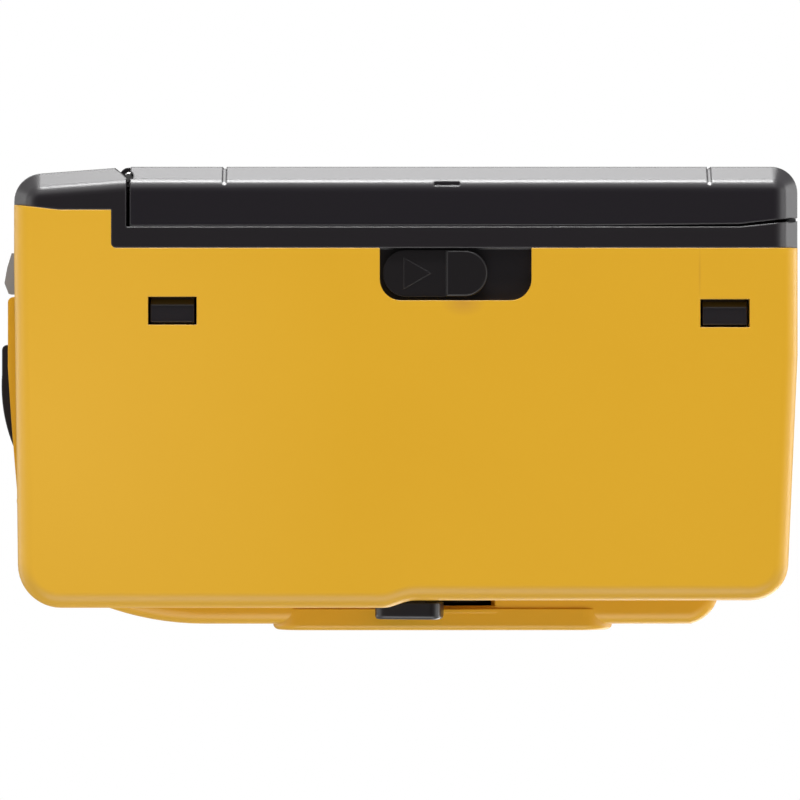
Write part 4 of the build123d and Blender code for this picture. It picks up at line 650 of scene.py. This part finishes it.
@dataclass
class FilmDoor(SubAssembly):
    """Film door with its window, seal, pressure plate and the grip ribs on its back."""

    title: str = "film door"
    back_y: float = 35.2
    rib_z: Pair = (18.0, 46.0)
    rib_first_x: float = -57.6
    rib_step: float = 1.5
    rib_count: int = 6
    rib_width: float = 0.8
    rib_round: float = 0.3
    rib_steps: int = 3
    rib_rise: float = 0.4
    rib_root: float = 0.3
    stiffener_x: tuple[float, ...] = (-40.0, -30.0, 22.0)
    stiffener_width: float = 1.0
    stiffener_depth: Pair = (4.2, 1.95)
    stiffener_z: Pair = (9.0, 58.0)
    stiffener_round: float = 0.2
    felt: tuple[Point, Point] = ((-62.5, 26.3, 1.6), (-61.0, 26.78, 63.6))

    def build(self) -> None:
        """Dress the door and add ribs outside and inside."""
        self.dress(BLACK_DOOR, "film_door")
        self.dress(SMOKED, "door_window")
        self.dress(FOAM, "door_seal")
        self.dress(BLACKENED, "pressure_plate")
        self.dress(STEEL, "pressure_spring", "hinge_pin")
        mesh = bmesh.new()
        for index in range(self.rib_count):
            x = self.rib_first_x + index * self.rib_step
            add_block(
                mesh, (x, self.back_y - self.rib_root, self.rib_z[0]),
                (x + self.rib_width, self.back_y + self.rib_rise, self.rib_z[1]), self.rib_round,
                self.rib_steps,
            )
        self.add_piece("thumb_ribs", mesh, BLACK, "film_door", "black_plastic")
        mesh = bmesh.new()
        for x in self.stiffener_x:
            add_block(
                mesh, (x, self.back_y - self.stiffener_depth[0], self.stiffener_z[0]),
                (x + self.stiffener_width, self.back_y - self.stiffener_depth[1], self.stiffener_z[1]),
                self.stiffener_round,
            )
        self.add_piece("door_stiffeners", mesh, MATT_NYLON, "film_door", "black_plastic")
        mesh = bmesh.new()
        add_block(mesh, *self.felt)
        self.add_piece("seam_felt", mesh, FOAM, "body", "foam")


@dataclass
class LensGroup(SubAssembly):
    """Lens bezel, cover blades, lens cell with its glass, and shutter."""

    title: str = "lens group"
    axis: Point = (-6.0, 0.0, 37.0)
    bezel_face_y: float = -39.45
    cell_face_y: float = -33.5
    trim_ring: Pair = (21.6, 22.5)
    trim_rise: float = 0.2
    step_radii: tuple[float, ...] = (9.4, 11.0, 12.6, 14.2)
    step_width: float = 0.7
    step_rise: float = 0.12
    cone_depth: float = 1.1
    baffle_radii: tuple[float, ...] = (9.7, 10.9, 12.1)
    baffle_width: float = 0.5
    baffle_rise: float = 0.15
    dish_depth: float = 1.2
    dish_radius: float = 9.0
    dish_slope: float = 0.28
    ring_root: float = 0.15
    ring_soft: float = 0.08
    ring_steps: int = 96

    def build(self) -> None:
        """Dress the lens and add rings and baffles."""
        self.dress(GLOSS_BLACK, "lens_bezel", "lens_cell")
        self.dress(BLACK, "lens_barrel", "cover_lever")
        self.dress(MATT_NYLON, "shutter_housing")
        self.dress(NICKEL, "lens_screws")
        self.dress(BLACKENED, "cover_blade_upper", "cover_blade_lower", "shutter_blade_grip", "shutter_blade_battery")
        self.dress(LENS_GLASS, "front_glass", "rear_glass")
        mesh = bmesh.new()
        self.ring(mesh, *self.trim_ring, self.bezel_face_y, self.trim_rise)
        self.add_piece("bezel_trim_ring", mesh, NICKEL, "body", "plated_steel")
        mesh = bmesh.new()
        for inner in self.step_radii:
            self.ring(mesh, inner, inner + self.step_width, self.bezel_face_y + self.cone_depth, self.step_rise)
        self.add_piece("bezel_steps", mesh, GLOSS_BLACK, "body", "black_gloss_plastic")
        mesh = bmesh.new()
        for inner in self.baffle_radii:
            base_y = self.cell_face_y + self.dish_depth - (inner - self.dish_radius) * self.dish_slope
            self.ring(mesh, inner, inner + self.baffle_width, base_y, self.baffle_rise)
        self.add_piece("cell_baffles", mesh, MATT_NYLON, "lens_cell", "black_gloss_plastic")

    def ring(self, mesh: bmesh.types.BMesh, inner: float, outer: float, base_y: float, proud: float) -> None:
        """Add a flat ring round the lens axis.

        Args:
            mesh: Mesh that gets the ring.
            inner: Inner radius in mm.
            outer: Outer radius in mm.
            base_y: Y of the face that it stands on.
            proud: How far it stands out of that face.
        """
        soft = min(self.ring_soft, proud / 3)
        profile = (
            (inner, -self.ring_root), (outer, -self.ring_root), (outer, proud - soft), (outer - soft, proud),
            (inner + soft, proud), (inner, proud - soft),
        )
        add_turned(mesh, profile, (self.axis[0], base_y, self.axis[2]), Facing.FRONT, self.ring_steps)


@dataclass
class FinderAndFlash(SubAssembly):
    """Front strip with finder, focus windows and lamp, and the flash beside it."""

    title: str = "finder and flash"
    window_y: float = -38.7
    focus_x: Pair = (-28.0, -14.0)
    window_z: float = 70.2
    flash_x: Pair = (20.2, 39.8)
    flash_y: float = -34.1
    mask_depth: float = 1.75
    mask_profile: tuple[Pair, ...] = ((0.9, 0.0), (2.3, 0.0), (2.3, 0.3), (0.9, 0.3))
    mask_steps: int = 48
    lens_depth: float = 2.6
    lens_profile: tuple[Pair, ...] = ((0.0, 0.0), (1.6, 0.0), (1.3, 0.45), (0.7, 0.7), (0.0, 0.8))
    lens_steps: int = 40
    cap_profile: tuple[Pair, ...] = ((0.0, -0.3), (1.5, -0.3), (1.5, 0.3), (0.0, 0.3))
    cap_steps: int = 32

    def build(self) -> None:
        """Dress the windows and add their inner masks and the flash's end plates."""
        self.dress(GLOSS_BLACK, "finder_fascia")
        self.dress(ACRYLIC, "fascia_windows")
        self.dress(RED_LAMP, "timer_lamp")
        self.dress(MATT_NYLON, "finder_tunnel")
        self.dress(RIBBED_CLEAR, "flash_window")
        self.dress(BRIGHT_ALUMINIUM, "flash_reflector")
        self.dress(LENS_GLASS, "flash_tube")
        self.dress(CAN, "flash_capacitor")
        mesh = bmesh.new()
        for x in self.focus_x:
            spot = (x, self.window_y + self.mask_depth, self.window_z)
            add_turned(mesh, self.mask_profile, spot, Facing.FRONT, self.mask_steps)
        self.add_piece("focus_masks", mesh, MATT_NYLON, "body", "chassis_plastic")
        mesh = bmesh.new()
        for x in self.focus_x:
            spot = (x, self.window_y + self.lens_depth, self.window_z)
            add_turned(mesh, self.lens_profile, spot, Facing.FRONT, self.lens_steps)
        self.add_piece("focus_lenses", mesh, LENS_GLASS, "body", "optical_glass")
        mesh = bmesh.new()
        for x in self.flash_x:
            add_turned(mesh, self.cap_profile, (x, self.flash_y, self.window_z), Facing.SIDE, self.cap_steps)
        self.add_piece("flash_tube_caps", mesh, NICKEL, "body", "plated_steel")


@dataclass
class Controls(SubAssembly):
    """Latch, buttons and the counting dial."""

    title: str = "controls"
    dial: Point = (-26.0, 8.0, 73.8)
    dial_radius: float = 6.0
    dial_numbers: tuple[int, ...] = tuple(range(0, 40, 4))
    number_height: float = 2.0
    ink_height: float = 0.02
    ink_rise: float = 0.03
    shutter_travel: float = 1.2
    wire_merge: float = 0.001
    wire_crease: float = 60.0

    def build(self) -> None:
        """Dress the controls and print the dial."""
        self.dress(BLACK_SLIDER, "latch_slider")
        self.dress(STEEL, "latch_bar", "latch_spring", "shutter_spring")
        self.coil_spring()
        self.dress(GLOSS_BLACK, "shutter_button", "flash_button", "timer_button")
        self.dress(BLACK, "rewind_button")
        self.dress(WHITE_DIAL, "counter_disc")
        self.print_dial()

    def coil_spring(self) -> None:
        """Stand a merged, smooth-shaded copy of the coil in for the fixed one."""
        mesh = bmesh.new()
        mesh.from_mesh(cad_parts["shutter_spring"].data)
        bmesh.ops.remove_doubles(mesh, verts=mesh.verts, dist=self.wire_merge * MM)
        coil = self.add_piece("shutter_spring_coil", mesh, STEEL, "body", "steel", crease=self.wire_crease)
        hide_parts("shutter_spring")
        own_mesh(coil)

    def print_dial(self) -> None:
        """Print the numbers round the counting dial as one thin mesh."""
        whole = bmesh.new()
        for index, number in enumerate(self.dial_numbers):
            angle = 2 * math.pi * index / len(self.dial_numbers)
            curve = bpy.data.curves.new("dial_number", "FONT")
            curve.body = str(number)
            curve.size = self.number_height * MM
            curve.align_x = "CENTER"
            curve.align_y = "CENTER"
            curve.extrude = self.ink_height * MM
            text = bpy.data.objects.new("dial_number", curve)
            bpy.context.scene.collection.objects.link(text)
            flat = bpy.data.meshes.new_from_object(text.evaluated_get(bpy.context.evaluated_depsgraph_get()))
            spot = Matrix.Translation(Vector(self.dial) * MM) @ Matrix.Rotation(-angle, 4, "Z")
            flat.transform(spot @ Matrix.Translation((0.0, -self.dial_radius * MM, self.ink_rise * MM)))
            whole.from_mesh(flat)
            bpy.data.objects.remove(text)
            bpy.data.curves.remove(curve)
            bpy.data.meshes.remove(flat)
        self.add_piece("dial_numbers", whole, DIAL_INK, "counter_disc", "white_plastic")


@dataclass
class FilmPath(SubAssembly):
    """Inner frame with its chambers, the light funnel, spool, sprocket, gears and motor."""

    title: str = "film path"
    gate: Point = (-6.0, 22.0, 37.0)
    gate_half: Pair = (18.0, 12.0)
    funnel_front_y: float = -14.0
    front_share: Pair = (0.55, 0.65)
    baffle_spots: tuple[float, ...] = (0.15, 0.32, 0.49, 0.66, 0.83)
    baffle_rim: float = 0.7
    baffle_root: float = 0.3
    baffle_thickness: float = 0.4

    def build(self) -> None:
        """Dress the inner frame and add the light baffles."""
        self.dress(MATT_NYLON, "chassis", "takeup_spool", "sprocket", "rewind_fork")
        self.dress(ACETAL, "spool_gear", "idler_gear", "motor_pinion")
        self.dress(STEEL, "winding_motor")
        mesh = bmesh.new()
        for share in self.baffle_spots:
            self.add_baffle(mesh, share)
        self.add_piece("light_baffles", mesh, MATT_NYLON, "body", "chassis_plastic")

    def add_baffle(self, mesh: bmesh.types.BMesh, share: float) -> None:
        """Add one thin frame that lines the light funnel.

        Args:
            mesh: Mesh that gets the frame.
            share: Place along the funnel, 0 at its front and 1 at the film.
        """
        gate_x, gate_y, gate_z = self.gate
        y = self.funnel_front_y + share * (gate_y - self.funnel_front_y)
        half_x = self.gate_half[0] * (self.front_share[0] + share * (1 - self.front_share[0]))
        half_z = self.gate_half[1] * (self.front_share[1] + share * (1 - self.front_share[1]))
        rear_y = y + self.baffle_thickness
        for side in (-1, 1):
            x_limits = sorted(
                (gate_x + side * (half_x - self.baffle_rim), gate_x + side * (half_x + self.baffle_root))
            )
            z_limits = sorted(
                (gate_z + side * (half_z - self.baffle_rim), gate_z + side * (half_z + self.baffle_root))
            )
            add_block(mesh, (x_limits[0], y, gate_z - half_z), (x_limits[1], rear_y, gate_z + half_z))
            add_block(mesh, (gate_x - half_x, y, z_limits[0]), (gate_x + half_x, rear_y, z_limits[1]))


@dataclass
class Electrics(SubAssembly):
    """Boards with their parts, battery bay, cells and contacts."""

    title: str = "electrics"
    board_face_y: float = -23.2
    board_parts: tuple[tuple[float, float, float, float, float], ...] = (
        (21.0, 30.0, 2.0, 1.2, 0.8), (21.0, 33.0, 2.0, 1.2, 0.8), (21.0, 46.0, 3.2, 1.6, 1.2),
        (41.0, 30.0, 1.2, 2.0, 0.8), (41.0, 34.0, 1.2, 2.0, 0.8), (40.0, 50.0, 4.0, 4.0, 1.6),
        (28.0, 52.0, 2.4, 1.2, 0.8), (34.0, 52.0, 2.4, 1.2, 0.8), (36.0, 26.0, 2.4, 1.2, 0.8),
        (22.0, 10.0, 3.2, 1.6, 1.0), (22.0, 56.0, 3.0, 3.0, 1.4), (32.0, 9.0, 2.4, 1.2, 0.8),
    )
    part_root: float = 0.05
    part_round: float = 0.1
    part_steps: int = 1
    chips: tuple[tuple[float, float, float, float], ...] = (
        (31.0, 40.0, 12.0, 12.0), (27.0, 18.0, 8.0, 10.0), (38.0, 16.0, 5.0, 8.0),
    )
    leg_pitch: float = 1.2
    leg_length: float = 1.0
    leg_half_width: float = 0.2
    leg_height: float = 0.3
    leg_root: float = 0.02

    def build(self) -> None:
        """Dress the boards and the battery bay, and add the small parts and the chips' legs."""
        self.dress(BOARD, "main_board", "top_board")
        self.dress(MATT_NYLON, "battery_box")
        self.dress(CAN, "battery_cell_front", "battery_cell_rear")
        self.dress(BRONZE, "battery_contacts")
        self.dress(YELLOW, "battery_door")
        self.dress(STEEL, "battery_hinge_pin")
        self.dress(BLACK, "battery_catch")
        mesh = bmesh.new()
        for x, z, width, height, depth in self.board_parts:
            add_block(
                mesh, (x - width / 2, self.board_face_y - self.part_root, z - height / 2),
                (x + width / 2, self.board_face_y + depth, z + height / 2), self.part_round, self.part_steps,
            )
        self.add_piece("board_parts", mesh, EPOXY, "body", "circuit_board")
        mesh = bmesh.new()
        for x, z, width, height in self.chips:
            count = int(height / self.leg_pitch)
            for index in range(count):
                leg_z = z - height / 2 + (index + 0.5) * height / count
                for side in (-1, 1):
                    limits = sorted((x + side * width / 2, x + side * (width / 2 + self.leg_length)))
                    add_block(
                        mesh, (limits[0], self.board_face_y - self.leg_root, leg_z - self.leg_half_width),
                        (limits[1], self.board_face_y + self.leg_height, leg_z + self.leg_half_width),
                    )
        self.add_piece("chip_legs", mesh, NICKEL, "body", "plated_steel")


@dataclass(frozen=True)
class Softbox:
    """Rectangular lamp: its place, the point that it faces and its width and height in metres, and its watts."""

    name: str
    place: Point
    aim: Point
    size: Pair
    power: float

    def hang(self) -> None:
        """Add the lamp to the scene."""
        lamp = bpy.data.lights.new(self.name, "AREA")
        lamp.shape = "RECTANGLE"
        lamp.size, lamp.size_y = self.size
        lamp.energy = self.power
        holder = bpy.data.objects.new(self.name, lamp)
        bpy.context.scene.collection.objects.link(holder)
        holder.location = self.place
        holder.rotation_euler = (Vector(self.aim) - Vector(self.place)).to_track_quat("-Z", "Y").to_euler()
        LOG.info("studio: hung %s", self.name)


# The lamp level with the part shows in the flat of the door's bevel, the strip below it in the bright line
# along the bevel's edge, and the side lamps in the rounds of the yellow shell.
SOFTBOXES = (
    Softbox("softbox_level_back", (0.0, 1.00, 0.06), (0.0, 0.0, 0.02), (0.56, 0.34), 6.7),
    Softbox("strip_low_back", (0.0, 0.95, -0.32), (0.0, 0.03, 0.0), (0.46, 0.15), 12.0),
    Softbox("softbox_low_back", (0.0, 0.70, -0.72), (0.0, 0.0, 0.0), (0.9, 0.50), 1.2),
    Softbox("softbox_low_front", (0.0, -0.75, -0.70), (0.0, 0.0, 0.0), (1.0, 0.70), 7.4),
    Softbox("softbox_low_left", (0.90, -0.05, -0.36), (0.0, 0.0, 0.0), (0.9, 0.50), 1.5),
    Softbox("softbox_low_right", (-0.90, -0.05, -0.36), (0.0, 0.0, 0.0), (0.9, 0.50), 2.0),
    Softbox("softbox_level_left", (0.90, 0.0, 0.30), (0.0, 0.0, 0.03), (0.9, 0.55), 3.4),
    Softbox("softbox_level_right", (-0.90, 0.0, 0.30), (0.0, 0.0, 0.03), (0.9, 0.55), 7.0),
    Softbox("softbox_high_front", (-0.55, -0.95, 1.05), (0.0, 0.0, 0.03), (0.9, 0.9), 14.0),
    Softbox("softbox_high_back", (0.6, 0.9, 0.95), (0.0, 0.0, 0.03), (0.7, 0.7), 8.0),
)


@dataclass
class Studio:
    """Pale floor, soft lamps, white surroundings and the camera below the part."""

    floor_z: float = -0.0004
    floor_radius: float = 6.0
    floor_segments: int = 96
    floor_colour: str = "E4E2DE"
    floor_roughness: float = 0.9
    fill_level: float = 0.08
    below_height: Pair = (-0.98, -0.62)
    below_level: Pair = (0.06, 1.0)
    overhead_height: Pair = (0.25, 0.80)
    overhead_level: Pair = (1.0, 0.35)
    camera_place: Point = (0.00096, -0.00224, -0.800)
    camera_lens: float = 225.0
    sensor_width: float = 36.0
    clip_start: float = 0.01

    def build(self) -> None:
        """Build floor, lamps, surroundings and camera."""
        self.lay_floor()
        self.hang_lamps()
        self.light_surroundings()
        self.place_camera()

    def lay_floor(self) -> None:
        """Lay a pale floor that is seen from above only, so that the underside can be looked at."""
        mesh = bmesh.new()
        bmesh.ops.create_circle(mesh, cap_ends=True, radius=self.floor_radius, segments=self.floor_segments)
        bmesh.ops.translate(mesh, verts=mesh.verts, vec=(0, 0, self.floor_z))
        data = bpy.data.meshes.new("floor")
        mesh.to_mesh(data)
        mesh.free()
        paint = bpy.data.materials.new("pale_studio_floor")
        paint.use_nodes = True
        tree = paint.node_tree
        tree.nodes.clear()
        matt = add_node(
            tree, "ShaderNodeBsdfPrincipled",
            {"Base Color": linear(self.floor_colour), "Roughness": self.floor_roughness},
        )
        clear = add_node(tree, "ShaderNodeBsdfTransparent")
        back = add_node(tree, "ShaderNodeNewGeometry").outputs["Backfacing"]
        mixed = add_node(tree, "ShaderNodeMixShader", {0: back, 1: matt.outputs[0], 2: clear.outputs[0]})
        add_node(tree, "ShaderNodeOutputMaterial", {"Surface": mixed.outputs[0]})
        data.materials.append(paint)
        floor = bpy.data.objects.new("floor", data)
        bpy.context.scene.collection.objects.link(floor)
        floor.visible_diffuse = False
        floor.visible_glossy = False
        floor.visible_transmission = False
        floor.visible_shadow = False

    def hang_lamps(self) -> None:
        """Hang soft area lamps below for the underside and above for the other sides."""
        for softbox in SOFTBOXES:
            softbox.hang()

    def light_surroundings(self) -> None:
        """Give white surroundings to what looks at them, and a grey level of light to what they fall on."""
        world = bpy.data.worlds.new("surroundings")
        bpy.context.scene.world = world
        world.use_nodes = True
        tree = world.node_tree
        tree.nodes.clear()
        path = add_node(tree, "ShaderNodeLightPath")
        seen = add_node(
            tree, "ShaderNodeMath", {0: path.outputs["Is Camera Ray"], 1: path.outputs["Is Transmission Ray"]},
            operation="MAXIMUM",
        )
        way = add_node(tree, "ShaderNodeTexCoord").outputs["Generated"]
        height = add_node(tree, "ShaderNodeSeparateXYZ", {0: way}).outputs["Z"]
        below, overhead = (
            add_node(
                tree, "ShaderNodeMapRange",
                {"Value": height, "From Min": heights[0], "From Max": heights[1], "To Min": levels[0],
                 "To Max": levels[1]},
                interpolation_type="SMOOTHSTEP",
            )
            for heights, levels in (
                (self.below_height, self.below_level), (self.overhead_height, self.overhead_level),
            )
        )
        room = add_node(
            tree, "ShaderNodeMath", {0: below.outputs[0], 1: overhead.outputs[0]}, operation="MULTIPLY"
        )
        gloss = add_node(
            tree, "ShaderNodeMix",
            {"Factor": path.outputs["Is Glossy Ray"], "A": self.fill_level, "B": room.outputs[0]}, data_type="FLOAT",
        )
        level = add_node(
            tree, "ShaderNodeMix", {"Factor": seen.outputs[0], "A": gloss.outputs[0], "B": 1.0}, data_type="FLOAT"
        )
        shade = add_node(tree, "ShaderNodeBackground", {"Color": (1, 1, 1, 1), "Strength": level.outputs[0]})
        add_node(tree, "ShaderNodeOutputWorld", {"Surface": shade.outputs[0]})

    def place_camera(self) -> None:
        """Place the camera straight below the part, with the film door at the top of the picture."""
        lens = bpy.data.cameras.new("camera")
        lens.lens = self.camera_lens
        lens.sensor_width = self.sensor_width
        lens.clip_start = self.clip_start
        holder = bpy.data.objects.new("camera", lens)
        bpy.context.scene.collection.objects.link(holder)
        holder.location = self.camera_place
        holder.rotation_euler = (0.0, math.pi, 0.0)
        bpy.context.scene.camera = holder


def main() -> None:
    """Build the groups in order, then the studio."""
    logging.basicConfig(level=logging.INFO, format="%(message)s")
    bpy.context.scene.view_settings.view_transform = "Standard"
    for group in (OuterCase(), FilmDoor(), LensGroup(), FinderAndFlash(), Controls(), FilmPath(), Electrics()):
        group.build()
    Studio().build()


if __name__ == "__main__":
    main()
